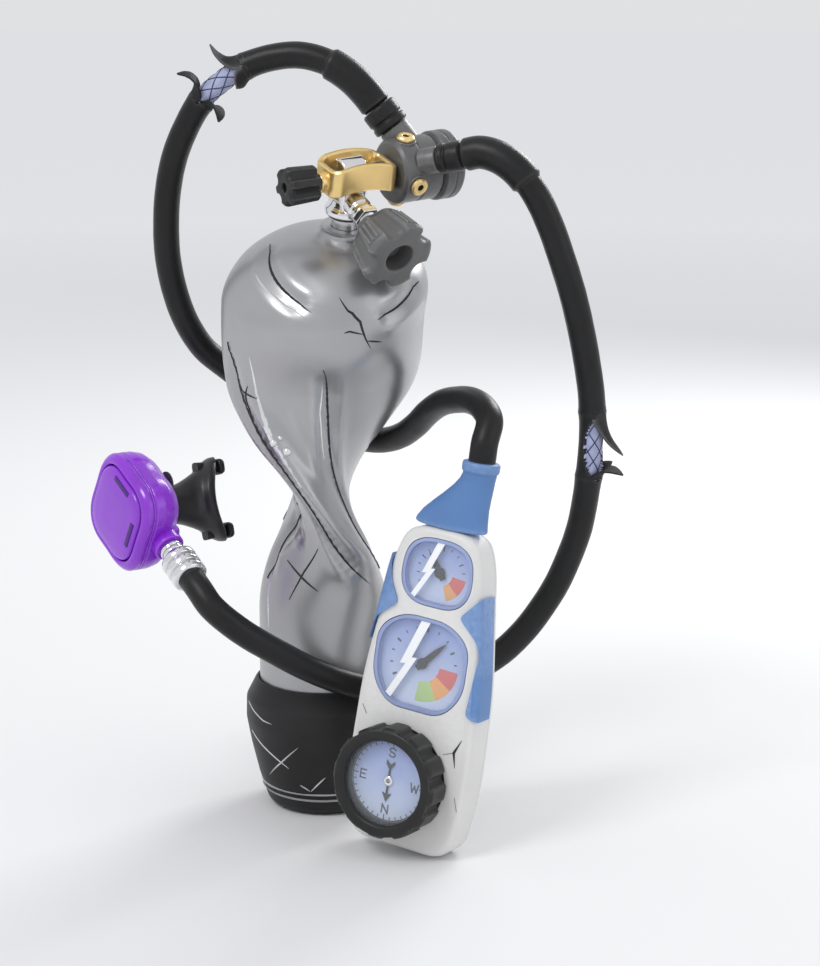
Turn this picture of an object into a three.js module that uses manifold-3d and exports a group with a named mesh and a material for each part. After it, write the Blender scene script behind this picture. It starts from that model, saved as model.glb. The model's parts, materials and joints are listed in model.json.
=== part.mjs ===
// A scuba tank with its valve, yoke regulator, instrument console and two hoses.
// Millimetres, +Z up. The origin is the centre of the boot's underside, on the floor.
// The tank's metal is wrung like a towel: its round section flattens to an ellipse that turns as it climbs.
import * as THREE from "three";
import { mergeVertices } from "three/addons/utils/BufferGeometryUtils.js";
import Module from "manifold-3d";

const wasm = await Module();
wasm.setup();

// ---------- driving dimensions ----------
const FIT = 0.3; // gap between pieces that touch

const TANK_LOWER_R = 60; // round foot of the cylinder
const TANK_UPPER_R = 92; // round chest of the cylinder
const TANK_WAIST_R = 28; // short half-axis of the section at the wrung waist
const TANK_WALL = 7;
const TANK_FLOOR_Z = 8; // the metal starts this far above the floor, inside the boot
const WRING_LOW_Z = 152; // the wringing starts here
const WRING_HIGH_Z = 446; // and ends here, half a turn later
const WAIST_Z = 301;
const CHEST_Z = 472; // the dome starts here
const DOME_LENGTH = 70;
const BEND_START = 400; // the top of the tank bends towards the front
const BEND_END = 505;
const BEND_ANGLE = THREE.MathUtils.degToRad(20);
const BEND_TOWARDS = new THREE.Vector3(0.3, -0.954, 0).normalize();
const NECK_SHIFT = 13; // the neck sits this far to the right of the dome's centre
const MOUTH = 551; // length of the centre line up to the neck's mouth
const NECK_R = 22;
const NECK_BORE_R = 12.8;

const BOOT_FLOOR_R = 50;
const BOOT_R = 73;
const BOOT_TOP_Z = 122;

const OUTLET_ABOVE_MOUTH = 46; // the valve outlet's axis above the neck's mouth
const HEAD_TURN = THREE.MathUtils.degToRad(33); // the outlet points this far round from +X
const POST = { thick: 24, wide: 26, top: 19 };
const KNOB_AXIS_Z = -17; // the handwheel's axis leaves the post this far below the outlet's
const KNOB_DROOP = THREE.MathUtils.degToRad(12); // and points this far down
const KNOB = { near: 50, far: 94, nearR: 25, farR: 33, recessR: 13, recessDepth: 20 };
const YOKE = { from: -26.5, to: 40, half: 20, band: 5.5, height: 25, rise: 7 };
const STAGE = { from: 41, to: 81, r: 29, capFrom: 82, capTo: 104, capR: 31 };

const HOSE_R = 12;
const HOSE_STEPS = 46;
const SLEEVE_R = 14.5;
const GAUGE_SLEEVE = 62; // length of the sleeve over the start of each hose
const BREATHING_SLEEVE = 70;
const GAUGE_FITTING = { from: 32, to: 54, r: 16.5 }; // heights above the port
const BREATHING_FITTING = { from: 17, to: 40, r: 13.5 };

const SECOND = { x: -168, y: -34, z: 288, r: 54 };
const CASE = { back: -22, front: 12, coverFront: 21, opening: 44, boss: 14, bossEnd: -55.5 };
const BARREL_R = 9;
const MOUTHPIECE_TURN = THREE.MathUtils.degToRad(-45); // its long side stands upright while the inlet leans

const CONSOLE = { length: 290, half: 60, thick: 36, x: 76, y: -130, z: 4.5 };
const CONSOLE_TURN = THREE.MathUtils.degToRad(-28);
const CONSOLE_LEAN = THREE.MathUtils.degToRad(-6);
const CONSOLE_ROLL = THREE.MathUtils.degToRad(6);
const DEPTH_GAUGE = { x: 2, z: 251, w: 35, h: 30 };
const PRESSURE_GAUGE = { x: -2, z: 168, w: 45, h: 42 };
const COMPASS = { x: -8, z: 63, r: 50, depth: 30 };
const FRONT = -CONSOLE.thick / 2;
const BACK = CONSOLE.thick / 2;
const SPLIT = 11; // where the back cover meets the shell
const DIAL_Y = -11;
const COLLAR_BEND = 20; // the collar leans this far to the right on its way up

// Ports of the first stage: the gauge hose leaves one, the breathing hose the other, and plugs close the rest.
const GAUGE_PORT = {
  at: new THREE.Vector3(72, 8, 8),
  towards: new THREE.Vector3(-0.42, 0.62, 0.66).normalize(),
};
const BREATHING_PORT = {
  at: new THREE.Vector3(62, -18, 14),
  towards: new THREE.Vector3(0.6, -0.713, 0.376).normalize(),
};
const PORT_PLUG = { x: 54, r: 8, angles: [88, -6, -96] }; // angles in degrees up from -Y

// ---------- materials ----------
const paint = (color, roughness, metalness = 0) =>
  new THREE.MeshStandardMaterial({ color, roughness, metalness });
const LOOK = {
  tank: paint("#b4b4b6", 0.35, 1),
  boot: paint("#1c1c1c", 0.7),
  chrome: paint("#dcdcdc", 0.12, 1),
  brass: paint("#e8b855", 0.3, 1),
  knob: paint("#5a5a5a", 0.6),
  black: paint("#222222", 0.5),
  stage: paint("#646464", 0.4),
  hose: paint("#1b1b1b", 0.55),
  silicone: paint("#262626", 0.6),
  steel: paint("#9a9a9a", 0.3, 1),
  purple: paint("#962be0", 0.3),
  shell: paint("#e2e1e0", 0.45),
  grip: paint("#5a86c0", 0.6),
  dial: paint("#aebcea", 0.4),
  needle: paint("#101010", 0.4),
  glass: paint("#e8f0ff", 0.05),
};

// ---------- solids ----------
const asSolid = (geometry) => {
  const bare = geometry.clone();
  bare.deleteAttribute("normal");
  bare.deleteAttribute("uv");
  const merged = mergeVertices(bare, 1e-4);
  const index = Array.from(merged.index.array);
  const kept = [];
  for (let i = 0; i < index.length; i += 3) {
    const [a, b, c] = index.slice(i, i + 3);
    if (a !== b && b !== c && c !== a) kept.push(a, b, c);
  }
  return new wasm.Manifold(new wasm.Mesh({
    numProp: 3,
    vertProperties: new Float32Array(merged.attributes.position.array),
    triVerts: new Uint32Array(kept),
  }));
};

const asGeometry = (solid) => {
  const mesh = solid.getMesh();
  const geometry = new THREE.BufferGeometry();
  geometry.setAttribute("position", new THREE.BufferAttribute(new Float32Array(mesh.vertProperties), 3));
  geometry.setIndex(new THREE.BufferAttribute(new Uint32Array(mesh.triVerts), 1));
  return geometry;
};

const join = (first, ...others) =>
  asGeometry(others.reduce((sum, g) => sum.add(asSolid(g)), asSolid(first)));
const cut = (first, ...others) =>
  asGeometry(others.reduce((rest, g) => rest.subtract(asSolid(g)), asSolid(first)));
const common = (first, second) => asGeometry(asSolid(first).intersect(asSolid(second)));

// A solid turned about Z from [radius, z] points, which run anticlockwise from the foot of the outer wall.
const turned = (points, segments = 18) =>
  new THREE.LatheGeometry(points.map(([r, z]) => new THREE.Vector2(r, z)), segments).rotateX(Math.PI / 2);

// A turned ring: the outline closes on itself and leaves the axis open.
const turnedRing = (points, segments = 18) => turned([...points, points[0]], segments);

const rod = (r, from, to, segments = 14) => turned([[0, from], [r, from], [r, to], [0, to]], segments);
const pipe = (outer, inner, from, to, segments = 14) =>
  turnedRing([[outer, from], [outer, to], [inner, to], [inner, from]], segments);
const hex = (flats, from, to) => rod(flats / Math.sqrt(3), from, to, 6);
const torus = (ring, section, segments = 18, sides = 4) =>
  new THREE.TorusGeometry(ring, section, sides, segments);
const block = (w, d, h) => new THREE.BoxGeometry(w, d, h);

const alongX = (g) => g.rotateY(Math.PI / 2);
const alongMinusY = (g) => g.rotateX(Math.PI / 2);

// An outline drawn in X and Z and given a thickness from y = front to y = back.
const slab = (shape, front, back) =>
  new THREE.ExtrudeGeometry(shape, { depth: back - front, bevelEnabled: false, curveSegments: 3 })
    .rotateX(Math.PI / 2).translate(0, back, 0);

const roundedOutline = (points, radius) => {
  const shape = new THREE.Shape();
  const corners = points.map(([x, y]) => new THREE.Vector2(x, y));
  corners.forEach((corner, i) => {
    const before = corners[(i + corners.length - 1) % corners.length];
    const after = corners[(i + 1) % corners.length];
    const enter = corner.clone().lerp(before, Math.min(0.49, radius / corner.distanceTo(before)));
    const leave = corner.clone().lerp(after, Math.min(0.49, radius / corner.distanceTo(after)));
    if (i === 0) shape.moveTo(enter.x, enter.y);
    else shape.lineTo(enter.x, enter.y);
    shape.quadraticCurveTo(corner.x, corner.y, leave.x, leave.y);
  });
  shape.closePath();
  return shape;
};

const circleShape = (r) => new THREE.Shape().absarc(0, 0, r, 0, 2 * Math.PI);

const sweep = (curve, shape, steps, curveSegments) =>
  new THREE.ExtrudeGeometry(shape, { steps, curveSegments, bevelEnabled: false, extrudePath: curve });

// A coil spring along Z.
const spring = (ringR, wireR, from, to, turns) => {
  const points = [];
  const count = turns * 7;
  for (let i = 0; i <= count; i += 1) {
    const angle = (2 * Math.PI * turns * i) / count;
    const z = from + wireR + ((to - from - 2 * wireR) * i) / count;
    points.push(new THREE.Vector3(ringR * Math.cos(angle), ringR * Math.sin(angle), z));
  }
  return sweep(new THREE.CatmullRomCurve3(points), circleShape(wireR), count, 2);
};

// Closed rings of points, joined ring to ring and capped at both ends.
const lofted = (rings) => {
  const n = rings[0].length;
  const points = rings.flat();
  const faces = [];
  for (let k = 0; k + 1 < rings.length; k += 1) {
    for (let i = 0; i < n; i += 1) {
      const a = k * n + i;
      const b = k * n + ((i + 1) % n);
      faces.push(a, b, b + n, a, b + n, a + n);
    }
  }
  [0, rings.length - 1].forEach((k, end) => {
    const centre = rings[k].reduce((sum, p) => sum.add(p), new THREE.Vector3()).divideScalar(n);
    points.push(centre);
    for (let i = 0; i < n; i += 1) {
      const pair = [k * n + i, k * n + ((i + 1) % n)];
      if (end === 0) pair.reverse();
      faces.push(points.length - 1, ...pair);
    }
  });
  const geometry = new THREE.BufferGeometry();
  geometry.setAttribute("position", new THREE.Float32BufferAttribute(points.flatMap((p) => p.toArray()), 3));
  geometry.setIndex(faces);
  return geometry;
};

// A slab with a chamfer round both faces; `outline(grow)` gives the shape grown by that much.
const chamfered = (outline, grow, front, back, chamfer) =>
  lofted([[-chamfer, back], [0, back - chamfer], [0, front + chamfer], [-chamfer, front]].map(([g, y]) =>
    outline(grow + g).getPoints(3).slice(1).map((p) => new THREE.Vector3(p.x, y, p.y))));

const add = (group, name, geometry, material) => {
  const mesh = new THREE.Mesh(geometry, material);
  mesh.name = name;
  group.add(mesh);
  return mesh;
};

// ---------- the wrung tank ----------
const smooth = (t) => {
  const c = THREE.MathUtils.clamp(t, 0, 1);
  return c * c * (3 - 2 * c);
};
const bendAxis = new THREE.Vector3(0, 0, 1).cross(BEND_TOWARDS).normalize();

// The tank's centre line at length s: where it is, and how the section is turned.
const centreLine = (s) => {
  const arcR = (BEND_END - BEND_START) / BEND_ANGLE;
  const angle = THREE.MathUtils.clamp((s - BEND_START) / arcR, 0, BEND_ANGLE);
  const past = Math.max(0, s - BEND_END);
  const shift = NECK_SHIFT * smooth((s - CHEST_Z) / (MOUTH - CHEST_Z - 15));
  const rise = Math.min(s, BEND_START) + arcR * Math.sin(angle) + past * Math.cos(angle);
  const lean = arcR * (1 - Math.cos(angle)) + past * Math.sin(angle);
  const at = BEND_TOWARDS.clone().multiplyScalar(lean).setZ(rise);
  at.x += shift;
  return { at, turn: new THREE.Quaternion().setFromAxisAngle(bendAxis, angle) };
};

// Half-axes of the section at length s. The long one widens evenly, the short one closes in at the waist.
const section = (s) => {
  const chest = smooth((s - WRING_LOW_Z) / (CHEST_Z - WRING_LOW_Z));
  let long = TANK_LOWER_R + (TANK_UPPER_R - TANK_LOWER_R) * chest;
  const fromWaist = s < WAIST_Z
    ? smooth((WAIST_Z - s) / (WAIST_Z - WRING_LOW_Z + 14))
    : smooth((s - WAIST_Z) / (CHEST_Z - WAIST_Z - 8));
  const round = s < WAIST_Z ? TANK_LOWER_R : TANK_UPPER_R;
  let short = TANK_WAIST_R + (round - TANK_WAIST_R) * fromWaist;
  const up = (s - CHEST_Z) / DOME_LENGTH;
  if (up > 0) {
    const dome = Math.pow(Math.max(0, 1 - Math.pow(up, 2.4)), 1 / 2.4);
    long = Math.max(TANK_UPPER_R * dome, NECK_R + 7 * smooth((MOUTH - 4 - s) / 9));
    short = long;
  }
  return { long, short };
};

const RING_SIDES = 24;
const tankRing = (s, inset) => {
  const { at, turn } = centreLine(s);
  const { long, short } = section(s);
  const ridge = Math.PI * (1 + (WRING_HIGH_Z - s) / (WRING_HIGH_Z - WRING_LOW_Z));
  const ring = [];
  for (let i = 0; i < RING_SIDES; i += 1) {
    const a = (2 * Math.PI * i) / RING_SIDES;
    const u = (long - inset) * Math.cos(a);
    const v = (short - inset) * Math.sin(a);
    const x = u * Math.cos(ridge) - v * Math.sin(ridge);
    const y = u * Math.sin(ridge) + v * Math.cos(ridge);
    ring.push(new THREE.Vector3(x, y, 0).applyQuaternion(turn).add(at));
  }
  return ring;
};

const stations = (from, to, step) => {
  const count = Math.ceil((to - from) / step);
  return Array.from({ length: count + 1 }, (_, i) => from + ((to - from) * i) / count);
};

const tankShell = () => {
  const outer = lofted([
    ...stations(TANK_FLOOR_Z + 14, CHEST_Z - 12, 27).map((s) => tankRing(s, 0)),
    ...stations(CHEST_Z, MOUTH, 11).map((s) => tankRing(s, 0)),
  ]);
  const foot = turned([[0, TANK_FLOOR_Z], [46, TANK_FLOOR_Z], [56, TANK_FLOOR_Z + 6], [60, TANK_FLOOR_Z + 14.5],
    [0, TANK_FLOOR_Z + 14.5]], RING_SIDES);
  const inner = lofted([
    ...stations(TANK_FLOOR_Z + 14, CHEST_Z - 12, 52).map((s) => tankRing(s, TANK_WALL)),
    ...stations(CHEST_Z, CHEST_Z + DOME_LENGTH - 18, 20).map((s) => tankRing(s, TANK_WALL)),
  ]);
  const { at, turn } = centreLine(MOUTH);
  const bore = rod(NECK_BORE_R, -60, 5).applyQuaternion(turn).translate(...at.toArray());
  return cut(join(outer, foot), inner, bore);
};

const boot = () => {
  const clear = FIT + 0.2;
  return turned([
    [0, 0], [BOOT_FLOOR_R - 2, 0], [BOOT_FLOOR_R + 4, 6], [62, 30], [69, 60], [BOOT_R, 84], [BOOT_R, 104],
    [TANK_LOWER_R + 3, BOOT_TOP_Z], [TANK_LOWER_R + clear, BOOT_TOP_Z],
    [TANK_LOWER_R + clear, TANK_FLOOR_Z + 14], [56 + clear, TANK_FLOOR_Z + 5.6],
    [46 + clear, TANK_FLOOR_Z - FIT],
    [0, TANK_FLOOR_Z - FIT],
  ], 30);
};

// ---------- the head: valve, yoke and first stage, about the outlet's axis ----------
const mouth = centreLine(MOUTH);
const head = new THREE.Group();
head.position.copy(new THREE.Vector3(0, 0, OUTLET_ABOVE_MOUTH).applyQuaternion(mouth.turn).add(mouth.at));
head.quaternion.copy(mouth.turn)
  .multiply(new THREE.Quaternion().setFromAxisAngle(new THREE.Vector3(0, 0, 1), HEAD_TURN));

const onKnobAxis = (g) => alongMinusY(g).rotateX(KNOB_DROOP).translate(0, 0, KNOB_AXIS_Z);

const valveBody = () => {
  const outline = new THREE.Shape();
  const half = POST.wide / 2;
  outline.moveTo(-half, -27);
  outline.lineTo(half, -27);
  outline.lineTo(half, POST.top - half);
  outline.absarc(0, POST.top - half, half, 0, Math.PI);
  const post = new THREE.ExtrudeGeometry(outline, {
    depth: POST.thick - 6, bevelThickness: 3, bevelSize: 3, bevelOffset: -3, bevelSegments: 1, curveSegments: 5,
  }).translate(0, 0, -(POST.thick - 6) / 2).rotateX(Math.PI / 2).rotateZ(Math.PI / 2);
  const spigot = turned([[0, -64], [NECK_BORE_R - FIT - 0.2, -64], [NECK_BORE_R - FIT - 0.2, -33], [19.5, -33],
    [19.5, -27], [15, -23], [0, -23]]);
  const branch = onKnobAxis(rod(11, 0, 31));
  const discBoss = rod(9, 0, 18).rotateX(-Math.PI / 2).translate(0, 0, KNOB_AXIS_Z);
  const bores = [
    rod(3.6, -70, KNOB_AXIS_Z, 16),
    onKnobAxis(rod(6, -3, 40, 20)),
    rod(3, KNOB_AXIS_Z, 0, 16),
    alongX(rod(3, -3, 20, 16)),
    alongX(pipe(8.2, 4.8, 10.2, 14)),
    alongX(turned([[0, -14], [5.5, -14], [0, -8.6]], 20)),
  ];
  return cut(join(post, spigot, branch, discBoss), ...bores);
};

const scallopedKnob = (nearR, farR, from, to, lobes, scallopR, bite) => {
  const edge = 3;
  const blank = turned([[0, from], [nearR - edge, from], [nearR, from + edge], [farR, to - edge], [farR - edge, to],
    [0, to]], 30);
  const scallops = Array.from({ length: lobes }, (_, i) => {
    const angle = (2 * Math.PI * (i + 0.5)) / lobes;
    const out = farR + scallopR - bite;
    return rod(scallopR, from - 1, to + 1, 14).translate(out * Math.cos(angle), out * Math.sin(angle), 0);
  });
  return cut(blank, ...scallops);
};

const valveKnob = () => {
  const blank = scallopedKnob(KNOB.nearR, KNOB.farR, KNOB.near, KNOB.far, 5, 11, 8);
  const recess = rod(KNOB.recessR, KNOB.far - KNOB.recessDepth, KNOB.far + 1, 20);
  return onKnobAxis(cut(blank, recess, rod(4.4, 40, 90, 16)));
};

const yokeBand = () => {
  const loop = (inset) => {
    const half = YOKE.half - inset;
    return roundedOutline([[YOKE.from + inset, -half], [YOKE.to - inset, -half], [YOKE.to - inset, half],
      [YOKE.from + inset, half]], 11 - inset);
  };
  const plan = loop(0);
  plan.holes.push(loop(YOKE.band));
  const wall = new THREE.ExtrudeGeometry(plan, { depth: 60, bevelEnabled: false, curveSegments: 4 })
    .translate(0, 0, -30);
  const side = new THREE.Shape();
  const low = (x) => -YOKE.height / 2 + YOKE.rise * (1 - ((x - 5) / 36) ** 2);
  const xs = stations(YOKE.from - 1, YOKE.to + 1, 12);
  xs.forEach((x, i) => (i ? side.lineTo(x, low(x)) : side.moveTo(x, low(x))));
  [...xs].reverse().forEach((x) => side.lineTo(x, low(x) + YOKE.height));
  side.closePath();
  const arch = slab(side, -30, 30);
  const boss = alongX(rod(9, YOKE.from - 6, YOKE.from + 4));
  const band = join(common(wall, arch), boss);
  const screwHole = alongX(rod(4.8, YOKE.from - 12, YOKE.from + 10, 20));
  const stageHole = alongX(rod(9.4, YOKE.to - 10, YOKE.to + 4));
  return cut(band, screwHole, stageHole);
};

const inletConnector = () =>
  cut(alongX(turned([[0, 13.7], [9.5, 13.7], [10, 14.4], [10, 24], [11, 24], [11, YOKE.to - YOKE.band - FIT],
    [9, YOKE.to - YOKE.band - FIT], [9, 50], [0, 50]])), alongX(rod(2.5, 10, 60, 16)), alongX(rod(5, 10, 19, 20)));

// Places a piece made along +Z on an angled hose port.
const onPort = (g, { at, towards }) => {
  const turn = new THREE.Quaternion().setFromUnitVectors(new THREE.Vector3(0, 0, 1), towards);
  return g.applyQuaternion(turn).translate(...at.toArray());
};
// Places a piece made along +Z on a plugged port that leaves the first stage `angle` degrees up from -Y.
const onPlugPort = (g, angle) =>
  g.rotateX(Math.PI / 2).rotateX(-THREE.MathUtils.degToRad(angle)).translate(PORT_PLUG.x, 0, 0);

const firstStageBody = () => {
  const { from, to, r } = STAGE;
  const outline = [[0, from], [r - 3, from], [r, from + 3], [r, to - 2], [r - 2, to], [0, to]];
  const barrel = alongX(turned(outline, 24));
  const gaugeBoss = onPort(rod(14, 10, GAUGE_FITTING.from - FIT), GAUGE_PORT);
  const breathingBoss = onPort(rod(12, 0, BREATHING_FITTING.from - FIT), BREATHING_PORT);
  const bores = [
    alongX(rod(9.3, from - 1, 51)),
    alongX(rod(5.5, 50, 60, 16)),
    alongX(rod(19, 59, to + 1)),
    ...PORT_PLUG.angles.map((angle) => onPlugPort(rod(5.2, 22, 40, 16), angle)),
    onPort(rod(4, 12, 40, 16), GAUGE_PORT),
    onPort(rod(5, 4, 20, 16), BREATHING_PORT),
  ];
  return cut(join(barrel, gaugeBoss, breathingBoss), ...bores);
};

const portPlug = (angle) =>
  onPlugPort(cut(turned([[0, 23.5], [4.9, 23.5], [4.9, 29.6], [PORT_PLUG.r, 29.6], [PORT_PLUG.r, 32],
    [PORT_PLUG.r - 1.5, 33.5], [0, 33.5]]), rod(2.6, 29.5, 40, 6)), angle);

const stageCap = () => {
  const { capFrom, capTo, capR } = STAGE;
  return alongX(turned([[0, capTo - 5], [19, capTo - 5], [19, capFrom], [capR - 5, capFrom], [capR, capFrom + 3],
    [capR, capTo - 3], [capR - 3, capTo], [0, capTo]], 24));
};

const hoseFitting = ({ from, to, r }) =>
  turned([[0, from], [r - 1.5, from], [r, from + 1.5], [r, to - 2], [r - 1, to], [0, to]], 20);

const buildHead = () => {
  add(head, "valve_body", valveBody(), LOOK.chrome);
  add(head, "neck_o_ring", torus(16, 1.2).translate(0, 0, -34.5), LOOK.black);
  add(head, "valve_dip_tube", pipe(3.1, 2, -98, -56, 16), LOOK.brass);
  const bonnet = join(hex(22, 31.3, 38), rod(9, 37.5, 41), pipe(5.7, 4.6, 24, 32, 20));
  add(head, "valve_bonnet_nut", onKnobAxis(cut(bonnet, rod(4.6, 20, 44, 20))), LOOK.chrome);
  const discPlug = hex(13, 18.3, 25).rotateX(-Math.PI / 2).translate(0, 0, KNOB_AXIS_Z);
  add(head, "burst_disc_plug", discPlug, LOOK.brass);
  add(head, "outlet_o_ring", alongX(torus(6.5, 1.2, 16).translate(0, 0, 11.9)), LOOK.black);
  add(head, "valve_knob", valveKnob(), LOOK.knob);
  add(head, "valve_stem", onKnobAxis(rod(4, 16, KNOB.far - KNOB.recessDepth + 6, 16)), LOOK.steel);
  add(head, "knob_nut", onKnobAxis(cut(hex(12, 74.4, 79.4), rod(4.4, 70, 82, 16))), LOOK.chrome);
  add(head, "valve_seat_plunger", onKnobAxis(rod(5.4, -1.5, 11, 20)), LOOK.black);

  add(head, "yoke", yokeBand(), LOOK.brass);
  add(head, "inlet_connector", inletConnector(), LOOK.chrome);
  add(head, "inlet_filter", alongX(rod(4.6, 14.4, 18.4, 20)), LOOK.steel);
  add(head, "yoke_screw_pad", alongX(turned([[0, -15.7], [5.5, -15.7], [5.5, -13.8], [3.4, -12.6], [0, -10.2]], 16)),
    LOOK.chrome);
  add(head, "yoke_screw", alongX(rod(4.4, -50, -16, 16)), LOOK.steel);
  const yokeKnob = cut(scallopedKnob(16.5, 17.5, 34.5, 66, 6, 6, 4), rod(4.8, 30, 51, 16), rod(4, 60, 67, 16));
  add(head, "yoke_knob", yokeKnob.rotateY(-Math.PI / 2), LOOK.black);

  add(head, "first_stage_body", firstStageBody(), LOOK.stage);
  add(head, "first_stage_cap", stageCap(), LOOK.stage);
  ["upper", "front", "rear"].forEach((place, i) =>
    add(head, `port_plug_${place}`, portPlug(PORT_PLUG.angles[i]), LOOK.brass));
  add(head, "piston_seat", alongX(cut(rod(5, 52, 55, 16), rod(1.2, 50, 57, 10))), LOOK.black);
  add(head, "piston", alongX(join(rod(18.4, 86, 91), rod(4, 56, 87, 16))), LOOK.chrome);
  add(head, "piston_spring", alongX(spring(12, 1.6, 59.6, 85.4, 4)), LOOK.steel);

  add(head, "gauge_hose_fitting", onPort(hoseFitting(GAUGE_FITTING), GAUGE_PORT), LOOK.hose);
  add(head, "breathing_hose_fitting", onPort(hoseFitting(BREATHING_FITTING), BREATHING_PORT), LOOK.hose);
};

// ---------- hoses ----------
// Both routes are laid by hand: the gauge hose arches over the tank and passes behind its waist, the breathing
// hose hangs down the right side and passes between the tank's foot and the console.
const GAUGE_ROUTE = [
  [51.6, -2.6, 649], [42, -1.9, 661.2], [28, 1, 675], [7, 5, 688], [-17, 10, 694], [-42, 15, 692],
  [-67, 20, 684], [-88, 24, 671], [-107, 28, 654], [-122, 32, 630], [-134, 36, 602], [-141, 41, 572],
  [-144, 46, 543], [-144, 52, 511], [-139, 58, 478], [-129, 64, 447], [-114, 72, 421], [-95, 80, 403],
  [-72, 88, 384], [-46, 95, 367], [-17, 99, 349], [11, 96, 336], [37, 85, 331], [58, 66, 334], [74, 45, 343],
  [87, 22, 357], [98, -2, 373], [110, -27, 386], [123, -51, 393], [135, -73, 396], [145, -94, 393],
  [150, -112, 384], [145.5, -123.8, 367.4], [143.2, -124.5, 351.5],
];
const BREATHING_ROUTE = [
  [128.1, -47.8, 609.2], [142.4, -53.4, 611.9], [158, -60, 608], [174, -66, 597], [189, -71, 578],
  [202, -74, 552], [213, -75, 522], [223, -73, 491], [231, -69, 460], [237, -65, 431], [242, -61, 400],
  [244, -56, 368], [243, -51, 336], [240, -45, 304], [235, -39, 272], [227, -33, 245], [216, -30, 218],
  [202, -29, 194], [185, -32, 172], [165, -37, 154], [142, -44, 141], [118, -51, 132], [94, -57, 127],
  [70, -62, 125], [47, -68, 129], [25, -75, 136], [3, -84, 147], [-18, -94, 160], [-39, -104, 175],
  [-61, -113, 191], [-79, -118, 206], [-94, -118, 220], [-105, -108.8, 233], [-112.6, -98.5, 240.2],
];

// The stretch of a hand-laid route from one length to another; without `to`, up to its end.
class Stretch extends THREE.Curve {
  constructor(route, from, to) {
    super();
    this.whole = new THREE.CatmullRomCurve3(route.map((p) => new THREE.Vector3(...p)));
    this.whole.arcLengthDivisions = 2000;
    const length = this.whole.getLength();
    this.start = from / length;
    this.end = to ? to / length : 1;
  }

  getPoint(t, target = new THREE.Vector3()) {
    return this.whole.getPointAt(this.start + (this.end - this.start) * t, target);
  }
}

const root = new THREE.Group();

const buildHoses = () => {
  const hoses = [["gauge", GAUGE_ROUTE, GAUGE_SLEEVE], ["breathing", BREATHING_ROUTE, BREATHING_SLEEVE]];
  hoses.forEach(([name, route, sleeve]) => {
    const covered = new Stretch(route, 0, sleeve);
    const bare = new Stretch(route, sleeve + FIT);
    add(root, `${name}_hose_sleeve`, sweep(covered, circleShape(SLEEVE_R), 6, 5), LOOK.hose);
    add(root, `${name}_hose`, sweep(bare, circleShape(HOSE_R), HOSE_STEPS, 4), LOOK.hose);
  });
};

// ---------- the second stage: z faces forward out of its front, x runs along its inlet ----------
const secondStage = new THREE.Group();
const INLET_TOWARDS = new THREE.Vector3(-0.52, 0.7, 0.49).normalize();
const FACE_TOWARDS = new THREE.Vector3(-0.83, -0.55, 0.05);
secondStage.position.set(SECOND.x, SECOND.y, SECOND.z);
{
  const side = new THREE.Vector3().crossVectors(FACE_TOWARDS, INLET_TOWARDS).normalize();
  const face = new THREE.Vector3().crossVectors(INLET_TOWARDS, side).normalize();
  secondStage.quaternion.setFromRotationMatrix(new THREE.Matrix4().makeBasis(INLET_TOWARDS, side, face));
}

// A rounded diamond about Z, `r` out to its corners, with a flat side towards the inlet.
const diamondRing = (r, z, sides = 28) =>
  Array.from({ length: sides }, (_, i) => {
    const angle = (2 * Math.PI * i) / sides;
    const out = r * (0.93 - 0.07 * Math.cos(4 * angle));
    return new THREE.Vector3(out * Math.cos(angle), out * Math.sin(angle), z);
  });
const diamond = (stack, sides) => lofted(stack.map(([r, z]) => diamondRing(r, z, sides)));

const secondStageHousing = () => {
  const { r } = SECOND;
  const outer = diamond([[24, CASE.back], [r - 8, CASE.back + 3], [r - 2, CASE.back + 12],
    [r, 0], [r, CASE.front]]);
  const inner = diamond([[20, CASE.back + 3], [r - 12, CASE.back + 6], [r - 6, CASE.back + 14],
    [r - 4, 0], [r - 4, CASE.front + 1]]);
  const snout = rod(14, CASE.back - 12, CASE.back + 2, 20);
  const bores = [
    rod(11, CASE.back - 20, CASE.back + 8, 20),
    alongX(rod(BARREL_R + 0.4, -60, -20)).translate(0, 0, -6),
    rod(8, -30, 0).translate(0, -28, 0),
  ];
  const boss = alongX(rod(CASE.boss, CASE.bossEnd, -42)).translate(0, 0, -6);
  return cut(join(outer, snout, boss), inner, ...bores);
};

const frontCover = () => {
  const { r } = SECOND;
  const outer = diamond([[r, CASE.front + FIT], [r, 16], [r - 3, CASE.coverFront - 2],
    [r - 7, CASE.coverFront]]);
  return cut(outer, diamond([[CASE.opening, 0], [CASE.opening, CASE.coverFront + 4]]));
};

const purgeCover = () => {
  const r = CASE.opening - 0.8;
  const disc = diamond([[r, 17], [r, 21], [r - 3, 24], [6, 25]]);
  const stem = rod(5, 13.9, 17.5);
  const slots = [block(26, 5, 4).translate(0, -31, 25), block(5, 26, 4).translate(-31, 0, 25)];
  return cut(join(disc, stem), ...slots);
};

const mouthpiece = () => {
  const oval = (a, b, z) => Array.from({ length: 20 }, (_, i) => {
    const angle = (2 * Math.PI * i) / 20;
    return new THREE.Vector3(a * Math.cos(angle), b * Math.sin(angle), z);
  });
  const from = CASE.back - 3;
  const outer = lofted([[17.5, 17.5, 0], [17.5, 17.5, -10], [19.5, 16.5, -22], [28, 16, -34], [37, 20, -39],
    [39, 22, -45], [32, 16, -47]].map(([a, b, z]) => oval(a, b, from + z)).reverse());
  const inner = lofted([[14.4, 14.4, 1], [14.4, 14.4, -12], [14.5, 11.5, -24], [25, 10, -48]]
    .map(([a, b, z]) => oval(a, b, from + z)).reverse());
  const tabs = [-1, 1].flatMap((side) => [
    block(12, 10, 22).translate(side * 30, 1, from - 56),
    block(15, 20, 7).translate(side * 30, 1, from - 67),
  ]);
  return join(cut(outer, inner), ...tabs).rotateZ(MOUTHPIECE_TURN);
};

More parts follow.
